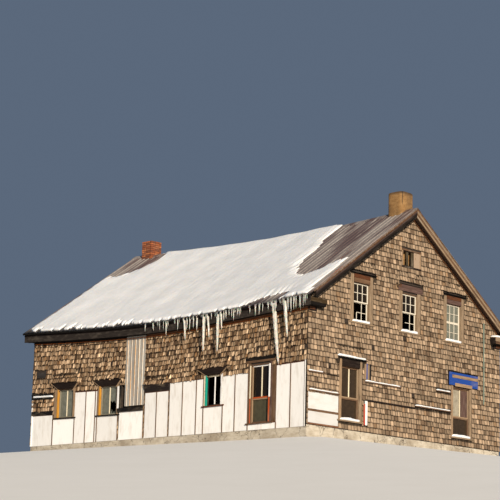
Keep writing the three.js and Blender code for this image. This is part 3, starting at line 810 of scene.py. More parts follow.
def casings(paint, bare, place, o, look):
    """Casing and reveal on either side, a slanted cheek under a leaning header, and the liners."""
    u, half, bottom, top, head = (o[k] for k in ("u", "half", "bottom", "top", "head"))
    leaning = shear_out(place, head, look["lean"])
    reveals = look.get("liner", look["casing"])[::o["flip"]]
    for sign, colour, reveal in zip((-1, 1), look["casing"][::o["flip"]], reveals):
        wood = bare if colour in BARE_COLOURS else paint
        end = head if look["lean"] else o["hood"]
        edges = between(sign, half, half + o["casing"], u)
        wood.board(place, edges, (0.001, PROUD), (bottom - LINER, end), colour, 0.4, "v")
        edges = between(sign, half, half + LINER - 0.001, u)
        wood.board(place, edges, (-LINER_DEPTH, 0.0), (bottom, top), reveal, 0.15, "v")
        if look["lean"]:
            slant = shear_side(leaning, head, sign * o["spread"])
            edges = between(sign, half - 0.005, half + 0.06, u)
            bare.board(slant, edges, (0.004, 0.04), (head - 0.06, o["hood"]), TAN, 0.4, "v")
    for v in ((top, top + LINER - 0.001), (bottom - LINER + 0.001, bottom)):
        bare.board(place, about(u, half), (-LINER_DEPTH, 0), v, BROWN, 0.2)


def header_boards(bare, place, o, look):
    """The two boards over a window, which lean out and widen over some kinds."""
    u, head, hood = o["u"], o["head"], o["hood"]
    reach, foot = (o["wide"], head + 0.07) if o.get("flat") else (o["half"], head)
    if look["lean"]:
        place = widen(shear_out(place, head, look["lean"]), u, head, o["spread"] / o["half"])
    for share, colour in zip((0.0, 0.5), o.get("header", look.get("header"))):
        low = foot + (hood - foot) * share
        bare.board(place, about(u, reach), (0.026, 0.05), (low, low + (hood - foot) * 0.49), colour, 0.1)


def hood_boards(paint, bare, place, o, snow):
    """The little roof over a window, with snow where it lies, or an end block on a plain header."""
    u, wide, foot = o["u"], o["wide"], o["hood"]
    if o.get("end_block"):
        edges = between(-o["flip"], wide, wide - 0.15, u)
        paint.board(place, edges, (0.05, 0.056), (foot - 0.11, foot), RUST_BROWN, 0.1)
    if o.get("flat"):
        bare.board(place, about(u, wide), (0.001, 0.055), (foot, foot + 0.025), BLACK, 0.1)
        return
    hood = shear_up(place, HOOD_FALL)
    edges = (u - wide - 0.02, u + wide + 0.02)
    bare.board(hood, edges, (0.001, HOOD_OUT), (foot + 0.038, foot + 0.066), BLACK, 0.3)
    bare.board(place, about(u, wide), (0.001, 0.06), (foot - 0.006, foot + 0.03), BLACK, 0.1)
    if o["node"] == "lower_window_1":
        lay_snow(snow, hood, about(u, wide), foot + 0.066, HOOD_OUT, 0.07)


def sashes(paint, place, o, look):
    """The sashes in one opening: two over each other, or one with a single mullion."""
    bottom, top, rail, inside = o["bottom"], o["top"], o.get("rail"), about(o["u"], o["half"])
    colours = (look["stiles"][::o["flip"]], look["rails"], look["bar"])
    if o["kind"] == "six":
        sash_frame(paint, place, inside, (rail, top), (3, 2), colours, 0.1, bar=0.019, rim=SLIM_BAR)
        behind = (SASH[0] - 0.03, SASH[1] - 0.03) if o["lost"] else SASH
        meet = rail + SLIM_BAR * 0.6 if o["lost"] else rail - 0.001
        sash_frame(paint, place, inside, (bottom, meet), (3, 2), colours, 0.3, o["lost"],
                   0.019, behind, SLIM_BAR)
    elif rail:
        sash_frame(paint, place, inside, (rail, top), (2, 1), colours, 0.25, bar=0.04)
        stile = TAN if o["kind"] == "tall" else BROWN
        sash_frame(paint, place, inside, (bottom, rail), (1, 1), ((stile, stile), (BROWN, stile), BROWN), 0.2)
    else:
        sash_frame(paint, place, inside, (bottom, top), (2, 1), colours, 0.2, bar=0.04)


def strips(paint, bare, place, o, look):
    """Coloured strips on the edges of the casings, and the board outside one of them."""
    for sign, low, high, colour, over, inside in look["strips"]:
        way = sign * o["flip"]
        edges = between(way, over, -inside, o["u"] + way * o["half"])
        paint.board(place, edges, (PROUD + 0.001, PROUD + 0.014), (o[low], o[high]), colour, 0.05, "v")
    if "outer" in o:
        sign, broad, colour = o["outer"]
        way = sign * o["flip"]
        edges = between(way, 0, broad, o["u"] + way * (o["half"] + o["casing"] + 0.003))
        bare.board(place, edges, (0.001, PROUD - 0.004), (o["bottom"] - LINER, o["head"]), colour, 0.3, "v")


def window(side, opening, snow):
    """All the joinery of one window, and the snow on its sill."""
    look = JOINERY[opening["kind"]]
    place = window_place(side, opening)
    u, half, bottom = opening["u"], opening["half"], opening["bottom"]
    paint, bare = Solids(), Solids()
    casings(paint, bare, place, opening, look)
    header_boards(bare, place, opening, look)
    hood_boards(paint, bare, place, opening, snow)
    sill = shear_up(place, SILL_FALL)
    edges = about(u, half + opening["casing"] + HEADER_LAP)
    bare.board(sill, edges, (0.001, SILL_OUT), (bottom - 0.04, bottom + 0.005), look["sill"], 0.2)
    sashes(paint, place, opening, look)
    strips(paint, bare, place, opening, look)
    name = f"{side}_{opening['node']}"
    paint.piece(f"{name}_joinery", "paint", "painted_wood", [f"{name}_frame"])
    bare.piece(f"{name}_casing", "trim", "painted_wood", [f"{name}_frame"])
    if snow:
        lay_snow(snow, sill, (u - half - 0.07, u + half + 0.03), bottom + 0.004, SILL_OUT + 0.02, 0.085)


def window_blocks(side, o):
    """Where a window keeps the shingles away, and how they kick out over its hood."""
    u, bottom, top, hood = (o[k] for k in ("u", "bottom", "top", "hood"))
    fall = window_place(side, o)(u, 0.0, 0.0)[2]
    narrow = o["half"] + o["casing"] + 0.004
    wide = narrow + o["lap"]
    spread_from = top + 0.1 if JOINERY[o["kind"]]["lean"] else hood - 0.04
    blocks = [
        (*about(u, narrow), bottom - 0.06 + fall, hood + fall),
        (*about(u, wide), spread_from + fall, hood + 0.05 + fall),
    ]
    if "outer" in o:
        sign, broad, _ = o["outer"]
        edges = between(sign * o["flip"], 0, narrow + broad, u)
        blocks.append((*edges, bottom - 0.06 + fall, top + 0.02 + fall))
    out = 0.0 if o.get("flat") else 0.10
    return blocks, (u - wide - 0.03, u + wide + 0.03, hood + 0.04 + fall, 0.3, out)


def wall_windows(side, rows, flip, snow=None):
    """Builds the windows of a wall. Says where shingles are blocked and where they kick out."""
    blocked, flares = [], []
    for opening in (mirrored(row, flip) for row in rows):
        window(side, opening, snow)
        blocks, flare = window_blocks(side, opening)
        blocked += blocks
        flares.append(flare)
    return blocked, flares


def lay_snow(solids, place, span, top, out, thick):
    """A soft strip of snow on a ledge."""
    u0, u1 = span
    c, s = circle(10)
    u = np.linspace(u0, u1, max(6, int((u1 - u0) / 0.05)))
    ends = np.clip(np.minimum(u - u0, u1 - u) / 0.06, 0.05, 1) ** 0.5
    height = thick * ends * (1 + 0.25 * ripple(u, 0, int(abs(u0) * 1000) % 977, 9.0))
    deep = out * (0.92 + 0.08 * ripple(u, 1, int(abs(u1) * 1000) % 977, 11.0)) * ends
    d = deep[:, None] * (0.5 + 0.5 * np.sign(c) * np.abs(c) ** 0.6)
    v = top + height[:, None] * (0.5 + 0.5 * np.sign(s) * np.abs(s) ** 0.7)
    solids.tube(place(u[:, None], d, v), (1, 1, 1, 0), joined(u[:, None], d, v))


# Panels of the long walls, each from and to along the wall, and its top
PANEL_FOOT = 0.37
FRONT_PANELS = [
    (-4.22, -3.65, 2.19), (-3.65, -3.16, 2.19), (-3.16, -3.05, 2.19), (-0.68, -0.12, 1.97),
    (-0.12, 0.46, 1.97), (0.50, 1.10, 2.24), (1.10, 1.74, 2.24), (1.74, 2.07, 2.24),
    (2.94, 3.48, 2.27), (3.48, 4.06, 2.27), (5.27, 5.86, 2.37), (5.86, 6.45, 2.37),
    (-5.34, -4.22, 1.27), (-3.05, -2.0, 1.27), (-1.94, -0.74, 1.36), (2.07, 2.94, 1.27), (4.06, 5.27, 0.56),
]
FAR_LEFT = (-6.5, -5.36)
FAR_LEFT_TOP = 1.43
PATCH_FOOT = 1.59
PATCH_TOP = 2.02
FELT_SPAN = (-6.34, -5.82)
FELT_FOOT = 2.80
FELT_TOP = 2.98
SHEET_SPAN = (-1.675, -0.725)
HEADER_SPAN = (-0.70, 0.49)
LEDGE_SPAN = (-1.98, -0.72)
DOOR_CLEAR = (-0.37, 0.97)
DOOR_HEAD = 2.66
CORNER_SPAN = (6.45, 6.55)
COVERED_MIDDLE = (-1.36, 1.92)
# Where the front's sheet, header and ledge keep the shingles away, and how the header kicks them out
FRONT_BLOCKS = [(*SHEET_SPAN, 1.2, 4.5), (*HEADER_SPAN, 1.8, 2.1), (*LEDGE_SPAN, 1.1, 2.35)]
HEADER_FLARE = (-0.72, 0.51, 2.08, 0.28, 0.09)
# Boards, each with its span, depth and heights, colour, wear and, where upright, direction
LONG_BOARDS = [
    (FAR_LEFT, (0.003, 0.05), (FAR_LEFT_TOP + 0.02, PATCH_FOOT), BLACK, 0.0),
    (FAR_LEFT, (0.003, 0.08), (PATCH_TOP, PATCH_TOP + 0.06), BLACK, 0.0),
    (FAR_LEFT, (0.003, 0.09), (PATCH_TOP + 0.13, PATCH_TOP + 0.18), BLACK, 0.0),
    ((6.45, 6.49), (0.003, 0.035), (PANEL_FOOT, 2.42), WHITE, 0.08, "v"),
    ((6.493, 6.524), (0.003, 0.035), (PANEL_FOOT, 2.42), BLACK, 0.08, "v"),
    ((-6.525, -6.46), (0.003, 0.035), (PANEL_FOOT, PATCH_TOP), WHITE, 0.08, "v"),
]
HEADER_FOOT = 1.99
LEANING_HEADER = [
    (HEADER_SPAN, (0.003, 0.03), (HEADER_FOOT, 2.12), DARK, 0.0),
    (HEADER_SPAN, (0.012, 0.04), (2.12, 2.25), DARK, 0.0),
]
BOARDS_BY_SHEET = [
    (LEDGE_SPAN, (0.003, 0.08), (1.37, 1.50), BLACK, 0.0),
    ((-2.04, -1.96), (0.03, 0.045), (1.50, 2.30), WHITE, 0.05, "v"),
]
COVERED_FRAME = [
    ((-1.955, -1.875), (0.001, PROUD), (1.43, 2.31), BLACK, 0.0, "v"),
    ((-0.845, -0.765), (0.001, PROUD), (1.43, 2.31), BLACK, 0.0, "v"),
    ((-1.875, -0.845), (0.001, PROUD), (1.43, 1.53), BLACK, 0.1),
    ((-1.955, -0.765), (0.001, PROUD), (2.313, 2.38), TAN, 0.5),
]
DOORWAY_BOARDS = [
    ((-0.36, -0.25), (0.002, 0.028), (FOUNDATION_TOP, 2.56), BROWN, 0.7, "v"),
    ((0.85, 0.96), (0.002, 0.028), (FOUNDATION_TOP, 2.56), BROWN, 0.7, "v"),
    ((-0.36, 0.96), (0.002, 0.03), (2.54, DOOR_HEAD), BROWN, 0.7),
]


def panel(solids, place, u0, u1, top):
    """A white panel with a brown batten over its joint, and a dark strip on its top."""
    heights = (PANEL_FOOT, top)
    solids.board(place, (u0, u1), (0.004, 0.016), heights, WHITE, 0.08, "v", bevel=0.002)
    solids.board(place, about(u1, 0.0175), (0.016, 0.03), heights, BROWN, 0.1, "v")
    solids.board(place, (u0, u1), (0.003, 0.026), (top, top + 0.026), RED_BROWN, 0.05)


def felt_patch(side, place, span):
    """Two strips of felt, bared where shingles are gone."""
    felt = Solids()
    high = FELT_TOP - FELT_FOOT
    for share in (0.0, 0.5):
        foot = FELT_FOOT + high * share
        deep = (0.002, 0.012 + 0.01 * (1 - share))
        felt.board(place, span, deep, (foot - 0.01, foot + high * 0.52), FELT, 0.2, bow=0.012)
    felt.piece(f"{side}_bared_felt", "trim", "dark_trim")


def long_boards(side, flip):
    """The panels and boards of a long wall. Says where they keep the shingles away."""
    place = wall(side)
    wood, snow = Solids(), Solids()
    spans = [(*between(flip, a, b), top) for a, b, top in FRONT_PANELS]
    if side == "back":
        parts = [(a, b, top) for u0, u1, top in spans for a, b in free_spans(u0, u1, [DOOR_CLEAR])]
        spans = [(a, b, top) for a, b, top in parts if b - a > 0.08]
    far = between(flip, *FAR_LEFT)
    for span in (*spans, (*far, FAR_LEFT_TOP)):
        panel(wood, place, *span)
    wood.boards(place, LONG_BOARDS, flip)
    if side == "front":
        wood.boards(shear_out(place, HEADER_FOOT, 0.3), LEANING_HEADER)
        wood.boards(place, BOARDS_BY_SHEET)
    wood.piece(f"{side}_panels_and_battens", "paint", "painted_wood")
    felt_span = between(flip, *FELT_SPAN)
    felt_patch(side, place, felt_span)
    lay_snow(snow, place, (far[0] + 0.02, far[1] - 0.02), PATCH_TOP + 0.05, 0.085, 0.085)
    snow.piece(f"{side}_ledge_snow", "snow", "snow", soft=True)
    blocked = [(*far, PATCH_TOP - 0.02, PATCH_TOP + 0.17), (*felt_span, FELT_FOOT, FELT_TOP)]
    for u0, u1, top in (*spans, (*far, PATCH_FOOT)):
        blocked.append((u0 - 0.002, u1 + 0.002, 0.1, place((u0 + u1) / 2, 0, top)[2] - 0.02))
    return blocked


def long_side(side, flip):
    """A long wall: windows, boards and shingles."""
    blocked, flares = wall_windows(side, FRONT_WINDOWS, flip)
    blocked += long_boards(side, flip)
    blocked.append((*between(flip, *CORNER_SPAN), 0.2, 2.45))
    if side == "front":
        blocked += FRONT_BLOCKS
        flares.append(HEADER_FLARE)
    else:
        blocked.append((*DOOR_CLEAR, 0.2, float(sunk(0.3, DOOR_HEAD)) + 0.03))
    shingle_wall(side, LONG_STYLE, blocked, flares)


# Ledges of the gables with their height, dark edges with height and depth, and panels; the second dark edge
# is a painted shadow line continuing from a ledge
GABLE_LEDGES = [(-4.91, -4.19, 2.10), (-2.23, -0.43, 2.07), (1.4, 2.2, 2.19), (0.3, 2.2, 1.56)]
GABLE_EDGES = [(-2.17, 0.3, 1.48, 0.05), (-4.17, -3.48, 2.07, 0.02)]
GABLE_PANELS = [(-4.87, -3.47, 0.90, 1.47), (-4.87, -3.47, 0.50, 0.865)]
PANEL_BOARDS_SPAN = (-4.88, -3.46)
PANEL_BOARDS = [
    (PANEL_BOARDS_SPAN, (0.003, 0.034), (0.855, 0.925), BROWN, 0.1),
    (PANEL_BOARDS_SPAN, (0.003, 0.035), (0.45, 0.497), FRIEZE_BROWN, 0.4),
    (PANEL_BOARDS_SPAN, (0.003, 0.08), (1.475, 1.505), BROWN, 0.7),
]
ATTIC = (6.09, 6.60)
ATTIC_SPAN = (-0.37, 0.51)
ATTIC_CLEAR = (-0.42, 0.56)
ATTIC_CLEAR_HEIGHTS = (6.02, 6.68)
ATTIC_SHUTTER = [((0.51, 0.20), (0.003, 0.02), ATTIC, SHUTTER_TAN, 0.35, "v")]
ATTIC_SLATS = [
    ((0.20, 0.09), (-0.03, -0.01), ATTIC, DARK_OLIVE, 0.5, "v"),
    ((-0.37, -0.33), (-0.05, -0.03), ATTIC, DARK_OLIVE, 0.5, "v"),
    ((-0.13, -0.03), (-0.05, -0.03), ATTIC, DARK_OLIVE, 0.5, "v"),
]
# The blue board over the right lower window, and the boards nailed on and over it
BLUE_BOARD = [((2.07, 3.64), (0.058, 0.075), (2.44, 2.87), BLUE, 0.12)]
NAILED_BOARDS = [
    ((2.07, 3.64), (0.03, 0.08), (2.872, 2.90), BLACK, 0.0),
    ((2.22, 3.64), (0.075, 0.09), (2.69, 2.79), TAN, 0.4),
    ((2.37, 3.30), (0.075, 0.092), (2.41, 2.52), TAN, 0.4),
]
# Coloured strips beside the left lower window
SIDE_STRIPS = [
    ((-2.25, -2.19), (0.004, 0.04), (0.66, 1.33), RED, 0.1, "v"),
    ((-2.19, -2.09), (0.004, 0.045), (0.66, 1.43), WHITE, 0.1, "v"),
    ((-2.25, -2.16), (0.004, 0.04), (2.10, 2.60), TAN, 0.15, "v"),
    ((-2.16, -2.11), (0.004, 0.045), (2.12, 2.62), BLUE, 0.1, "v"),
    ((-2.11, -2.01), (0.004, 0.04), (2.10, 2.58), GREY_TAN, 0.15, "v"),
    ((-2.01, -1.94), (0.004, 0.05), (2.16, 2.62), BLACK, 0.05, "v"),
]
# Where these boards and strips keep the shingles away
RIGHT_BLOCKS = [(2.05, 3.68, 2.42, 2.92), (-2.26, -1.93, 2.09, 2.63), (-2.26, -2.08, 0.6, 1.44)]
PIPE_AT = 3.97
PIPE_OUT = 0.075
PIPE_THICK = 0.016
PIPE_ENDS = (1.96, 4.75)


def gable_trim(place, flip, trim, paint, snow):
    """The ledges, edges and panels of a gable. Says where they keep the shingles away."""
    blocked = []
    for a, b, v in GABLE_LEDGES:
        u0, u1 = between(flip, a, b)
        trim.board(shear_up(place, -0.2), (u0, u1), (0.002, 0.085), (v - 0.035, v - 0.005), BROWN, 0.7)
        lay_snow(snow, place, (u0 + 0.02, u1 - 0.02), v - 0.018, 0.08, 0.045)
        blocked.append((u0, u1, v - 0.04, v + 0.03))
    # Dark edge boards; the short one stands in for a shadow line below a ledge, painted shadow
    for a, b, v, deep in GABLE_EDGES:
        edges = between(flip, a, b)
        trim.board(place, edges, (0.002, 0.06), (v - deep, v), DARK, 0.1)
        blocked.append((*edges, v - deep + 0.01, v + 0.01))
    for a, b, low, high in GABLE_PANELS:
        edges = between(flip, a, b)
        # Panels in a greyer copy of white, painted shade
        paint.board(place, edges, (0.003, 0.02), (low, high), SHADED_PANEL_WHITE, 0.06, bevel=0.002)
        blocked.append((*edges, low - 0.1, high + 0.05))
    trim.boards(place, PANEL_BOARDS, flip)
    u0, u1 = between(flip, *PANEL_BOARDS_SPAN)
    lay_snow(snow, place, (u0 + 0.02, u1 - 0.02), 1.503, 0.08, 0.045)
    return blocked


def attic_opening(place, flip, trim, paint):
    """Old boards left in the gable's top opening, with its own frame."""
    low, high = ATTIC
    u0, u1 = between(flip, *ATTIC_SPAN)
    trim.board(place, (u0 - 0.05, u1 + 0.05), (0.002, 0.045), (low - 0.055, low - 0.002), DARK, 0.8)
    trim.board(place, (u0 - 0.05, u1 + 0.05), (0.002, 0.05), (high + 0.002, high + 0.05), BROWN, 0.8)
    for edges in ((u0 - 0.05, u0), (u1, u1 + 0.05)):
        trim.board(place, edges, (0.002, 0.03), ATTIC, TAN, 0.8, "v")
    paint.boards(place, ATTIC_SHUTTER, flip)
    trim.boards(place, ATTIC_SLATS, flip)


def conduit(place):
    """A thin grey-green pipe that runs down the gable wall, with its straps."""
    wood = Solids()
    c, s = circle(10)
    heights = np.linspace(*PIPE_ENDS, 12)
    u = PIPE_AT + PIPE_THICK * c + 0.004 * ripple(heights, 0, 5, 3.0)[:, None]
    d = PIPE_OUT + PIPE_THICK * s
    v = heights[:, None]
    wood.tube(place(u, d, v), (*PIPE_GREEN, 0.3), joined(v, u, d))
    for height in (2.3, 3.2, 4.1):
        wood.board(place, (3.92, 4.02), (0.03, 0.096), (height, height + 0.025), STRAP_GREEN, 0.3)
    wood.piece("gable_conduit", "paint", "painted_wood")


def gable_side(side, flip):
    """A gable wall: windows, ledges, boards and shingles."""
    place = wall(side)
    snow, trim, paint = Solids(), Solids(), Solids()
    blocked, flares = wall_windows(side, GABLE_WINDOWS, flip, snow)
    flares = [(*flare[:4], 0.05) for flare in flares]
    blocked += gable_trim(place, flip, trim, paint, snow)
    attic_opening(place, flip, trim, paint)
    blocked.append((*between(flip, *ATTIC_CLEAR), *ATTIC_CLEAR_HEIGHTS))
    if side == "right":
        paint.boards(place, BLUE_BOARD)
        trim.boards(place, NAILED_BOARDS)
        paint.boards(place, SIDE_STRIPS)
        conduit(place)
        blocked += RIGHT_BLOCKS
        # The blue board lies over the last window, where no shingles kick out
        flares.pop()
    trim.piece(f"{side}_gable_trim", "trim", "dark_trim")
    paint.piece(f"{side}_gable_boards", "paint", "painted_wood")
    snow.piece(f"{side}_gable_snow", "snow", "snow", soft=True)
    shingle_wall(side, GABLE_STYLE, blocked, flares)


RIB_PITCH = 0.229
RIB_RISE = 0.02
ROOF_RIB = (RIB_PITCH, RIB_RISE, 0.062, 0.028)
SHEET_RIB = (0.183, 0.014, 0.05, 0.024)
# Sheets down the slope, each from and to, and how many rows of points it has
SHEET_RUNS = ((0.004, 2.3, 5), (2.31, 4.2, 5), (4.21, EAVE_REACH, 4))
CAP_HALF = 0.17


def ribbed_section(x0, x1, inset, rib):
    """Places and heights across a ribbed sheet, from its ribs' pitch, rise, foot and crest."""
    pitch, rise, foot, crest = rib
    lean = (foot - crest) / 2
    xs, hs = [x0], [0.0]
    at = x0 + inset
    while at + foot < x1:
        xs += [at, at + lean, at + lean + crest, at + foot]
        hs += [0.0, rise, rise, 0.0]
        at += pitch
    return np.array(xs + [x1]), np.array(hs + [0.0])


def sheet_piece(name, look, replaced, top, low, tint, grain):
    """A thin closed sheet of metal between two grids of points."""
    upper = np.arange(top.shape[0] * top.shape[1]).reshape(top.shape[:2])
    lower = upper + upper.size

    def quads(g):
        return np.stack([g[:-1, :-1], g[:-1, 1:], g[1:, 1:], g[1:, :-1]], -1).reshape(-1, 4)

    def skirt(edge):
        a, b = upper[edge], lower[edge]
        return np.stack([a[:-1], a[1:], b[1:], b[:-1]], -1)

    edges = (0, -1, (slice(None), 0), (slice(None), -1))
    polys = [quads(upper), quads(lower)[:, ::-1], *(skirt(edge) for edge in edges)]
    solids = Solids()
    tints = np.concatenate([tint.reshape(-1, 4)] * 2)
    solids.add(np.stack([top, low]), polys, tints, np.stack([grain, grain]))
    solids.piece(name, look, "roof_metal", [replaced])


def roof_slope(name, across):
    """Ribbed sheets down one slope, over boards that run along the building."""
    xs, rise = ribbed_section(-RAKE_REACH, RAKE_REACH, 0.08, ROOF_RIB)
    x, t = np.meshgrid(xs, np.concatenate([np.linspace(*run) for run in SHEET_RUNS]))
    lap = np.where(t < 2.305, 0.004, np.where(t < 4.205, 0.002, 0.0))
    dent = 0.003 * ripple(x * 2, t * 1.5, 8, 1.6)
    edge = np.clip((RAKE_REACH - np.abs(x)) / 0.1, 0, 1) * np.clip((EAVE_REACH - t) / 0.1, 0, 1)
    top = joined(x, across * t, roof_top(t) - sag(x) + rise + lap + dent * edge)
    near = np.clip((np.abs(x) - 6.5) / 0.35, 0, 1)
    # Painted shade: the sheet is darkened near the eave, most of all left of the bare patch there, and again
    # at its very edge
    shade = 1 - 0.93 * smooth(EAVE_REACH - 0.42, EAVE_REACH - 0.3, t) * smooth(4.2, 3.4, x)
    shade = shade * (1 - 0.75 * smooth(EAVE_REACH - 0.07, EAVE_REACH - 0.03, t))
    tint = np.stack([shade, shade, shade, 0.1 + 0.4 * near], -1)
    low = top - np.array([0, 0, 0.008])
    sheet_piece(f"{name}_sheets", "roof", name, top, low, tint, joined(t * 1.22, x, across))

    def place(x, t, v):
        return joined(x, across * t, roof_top(t) - sag(x) + v)

    boards = Solids()
    length = (-RAKE_REACH + 0.01, RAKE_REACH - 0.01)
    for t0 in np.arange(0.02, EAVE_REACH - 0.02, 0.2):
        t1 = min(t0 + 0.196, EAVE_REACH - 0.01)
        # The board nearest the eave is black, painted shade under the roof's edge
        colour, wear = (BLACK, 0.0) if t1 > EAVE_REACH - 0.15 else (BROWN, 0.9)
        boards.board(place, length, (t0, t1), (-0.062, -0.012), colour, wear, steps=BAYS, bevel=0.002)
    boards.piece(f"{name}_boards", "trim", "dark_trim")


def ridge_cap(name, x0, x1):
    """Bent sheet over the ridge, with a hem down each side."""
    half = CAP_HALF
    inner = BAY_X[(BAY_X > x0) & (BAY_X < x1)]
    xs = np.unique(np.concatenate([[x0, x1], inner, np.linspace(x0, x1, 9)]))
    ys = np.array([-half, -half + 0.004, -half * 0.5, -0.02, 0.0, 0.02, half * 0.5, half - 0.004, half])
    drop = np.array([-0.016, 0, 0, 0, 0.004, 0, 0, 0, -0.016])
    x, y = np.meshgrid(xs, ys)
    z = roof_top(y) - sag(x) + RIB_RISE + 0.007 + drop[:, None] + 0.002 * ripple(x * 3, y * 9, 3, 2.0)
    top = joined(x, y, z)
    tint = np.full((*x.shape, 4), 1.0)
    tint[..., 3] = 0.3
    low = top - np.array([0, 0, 0.004])
    sheet_piece(f"{name}_sheet", "roof", name, top, low, tint, joined(np.abs(y), x, 0.0))


def metal_sheet():
    """The tall ribbed sheet nailed over the covered opening."""
    place = wall("front")
    low, high = 1.56, 4.06
    us, rise = ribbed_section(*SHEET_SPAN, 0.06, SHEET_RIB)
    u, v = np.meshgrid(us, np.linspace(low, high, 14))
    bend = 0.004 * ripple(u * 3, v * 1.5, 81, 1.6) + 0.004
    out = 0.028 + rise + bend
    ragged = np.where(v == low, 0.008 * ripple(u * 12, 0, 82, 2.0), 0.0)
    tint = np.full((*u.shape, 4), 1.0)
    tint[..., 3] = 0.25 + 0.6 * (rise > 0.01)
    face, back = (place(u, depth, v + ragged) for depth in (out, out - 0.003))
    sheet_piece("metal_sheet_skin", "sheet", "metal_sheet", face, back, tint, joined(v, u, 0.0))
    boards = Solids()
    boards.boards(wall("front", COVERED_MIDDLE), COVERED_FRAME)
    boards.piece("covered_opening_boards", "paint", "painted_wood", ["covered_opening_frame"])


# Outlines of the bare places in the snow, along the ridge and down the slope from it
BARE_BY_GABLE = [
    (3.62, -0.06), (3.7, 0.9), (4.0, 1.5), (4.0, 2.05), (4.08, 2.7), (4.7, 3.4), (5.24, 3.58),
    (5.65, 3.48), (6.12, 3.08), (6.56, 3.04), (6.64, 3.5), (6.7, 4.7), (7.1, 4.7), (7.1, -0.06),
]
BARE_BY_LEFT_CHIMNEY = [
    (-5.25, -0.06), (-5.1, 0.45), (-5.35, 0.9), (-5.65, 1.28), (-6.15, 1.51), (-6.62, 1.4),
    (-7.1, 0.6), (-7.1, -0.06),
]
BARE_AT_EAVE = [(3.7, 5.6), (3.85, 5.35), (4.33, 5.01), (5.57, 4.78), (5.48, 5.29), (5.3, 5.6)]
BARE_BACK_RIDGE = [(3.5, -0.06), (4.0, 0.3), (5.4, 0.42), (7.1, 0.55), (7.1, -0.06)]
BARE_BACK_LEFT = [(-5.3, -0.06), (-5.4, 0.25), (-6.4, 0.35), (-7.1, 0.4), (-7.1, -0.06)]
BARE = {-1: (BARE_BY_GABLE, BARE_BY_LEFT_CHIMNEY, BARE_AT_EAVE), 1: (BARE_BACK_RIDGE, BARE_BACK_LEFT)}
SNOW_CELL = 0.055
SNOW_DEPTH = 0.095

CHIMNEYS = {
    "right_chimney": {"x": 5.995, "y": 0.08, "size": 0.58, "top": 8.69},
    "left_chimney": {"x": -5.945, "y": 0.0, "size": 0.52, "top": 8.5},
}
CHIMNEY_FOOT = 5.725
CRACK_TURN = 318
PARGING_THICK = 0.04
PARGING_SHIFT = 0.03
PARGING_DOME = 0.07
BRICK_LONG = 0.205
BRICK_HIGH = 0.064
BRICK_DEEP = 0.1
JOINT = 0.011


def outside_distance(x, t, outline):
    """Distance to an outline in plan, negative inside it."""
    best = np.full(x.shape, 99.0)
    inside = np.zeros(x.shape, bool)
    for (ax, at), (bx, bt) in zip(outline, outline[1:] + outline[:1]):
        ex, et = bx - ax, bt - at
        share = np.clip(((x - ax) * ex + (t - at) * et) / (ex * ex + et * et), 0, 1)
        best = np.minimum(best, np.hypot(x - ax - share * ex, t - at - share * et))
        hit = x < ax + (t - at) * ex / (et if et else 1e-9)
        inside ^= ((at > t) != (bt > t)) & hit
    return np.where(inside, -best, best)


def snow_depth(x, t, across):
    """Depth of the snow on one slope, from the drifts, the bare places and the ragged eave edge."""
    ragged = 0.16 * ripple(x * 5.5, t * 0.5, 21, 1.5) + 0.07 * ripple(x * 17, t * 1.2, 22, 1.4)
    depth = SNOW_DEPTH + 0.025 * ripple(x, t, 23, 1.1)
    clear = np.full(x.shape, 9.0)
    for outline in BARE[across]:
        clear = np.minimum(clear, outside_distance(x, t, outline) + ragged)
    rib = np.abs(np.sin(np.pi * (x + RAKE_REACH - 0.11) / RIB_PITCH))
    notch = np.clip(1.7 * ripple(x * 5, 0 * t, 24, 1.6) - 0.1, 0, 1) * smooth(0.2, 0.8, rib)
    left_end = smooth(0.5, -2.5, x)
    teeth = 0.012 + 0.02 * ripple(x * 1.3, 0 * t, 25, 1.0) + notch * (0.06 + 0.24 * left_end)
    edge = EAVE_REACH - 0.012 - np.clip(teeth, 0.0, 0.4) - t
    side = RAKE_REACH - 0.03 + 0.05 * ripple(t * 4, x * 0, 26, 1.5) - 0.05 - np.abs(x)
    depth = depth * smooth(0, 0.4, clear) ** 0.8
    return depth * smooth(0, 0.05, edge) ** 0.5 * smooth(0, 0.3, side) ** 0.8


def roof_snow(name, across):
    """The snow on one slope, thinning out round the chimneys, as one closed solid."""
    xs = np.linspace(-RAKE_REACH + 0.03, RAKE_REACH - 0.03, int(2 * RAKE_REACH / SNOW_CELL))
    ts = np.linspace(0.0, EAVE_REACH - 0.012, int(EAVE_REACH / (SNOW_CELL * 0.8)))
    x, t = np.meshgrid(xs, ts)
    depth = snow_depth(x, t, across)
    for spec in CHIMNEYS.values():
        away = np.maximum(np.abs(x - spec["x"]), np.abs(across * t - spec["y"])) - spec["size"] / 2
        depth = np.where(away < 0.0, 0.0, depth * smooth(0.0, 0.12, away))
    base = roof_top(t) - sag(x) + 0.006
    points = np.stack([joined(x, across * t, z) for z in (base + depth, base)]).reshape(-1, 3)
    wet = depth > 0.004
    cells = wet[:-1, :-1] & wet[:-1, 1:] & wet[1:, 1:] & wet[1:, :-1]
    index = np.arange(x.size).reshape(x.shape)
    around = (index[:-1, :-1], index[:-1, 1:], index[1:, 1:], index[1:, :-1])
    upper = np.stack([g[cells] for g in around], -1)
    edges = np.concatenate([upper[:, [i, (i + 1) % 4]] for i in range(4)])
    _, first, times = np.unique(np.sort(edges, 1), axis=0, return_index=True, return_counts=True)
    a, b = edges[first[times == 1]].T
    polys = [upper, upper[:, ::-1] + x.size, np.stack([b, a, a + x.size, b + x.size], -1)]
    used, back = np.unique(np.concatenate([p.ravel() for p in polys]), return_inverse=True)
    split = np.split(back, np.cumsum([p.size for p in polys])[:-1])
    solids = Solids()
    solids.add(points[used], [s.reshape(-1, 4) for s in split], (1, 1, 1, 0), points[used])
    solids.piece(name, "snow", "snow", ["roof_snow"], soft=True)


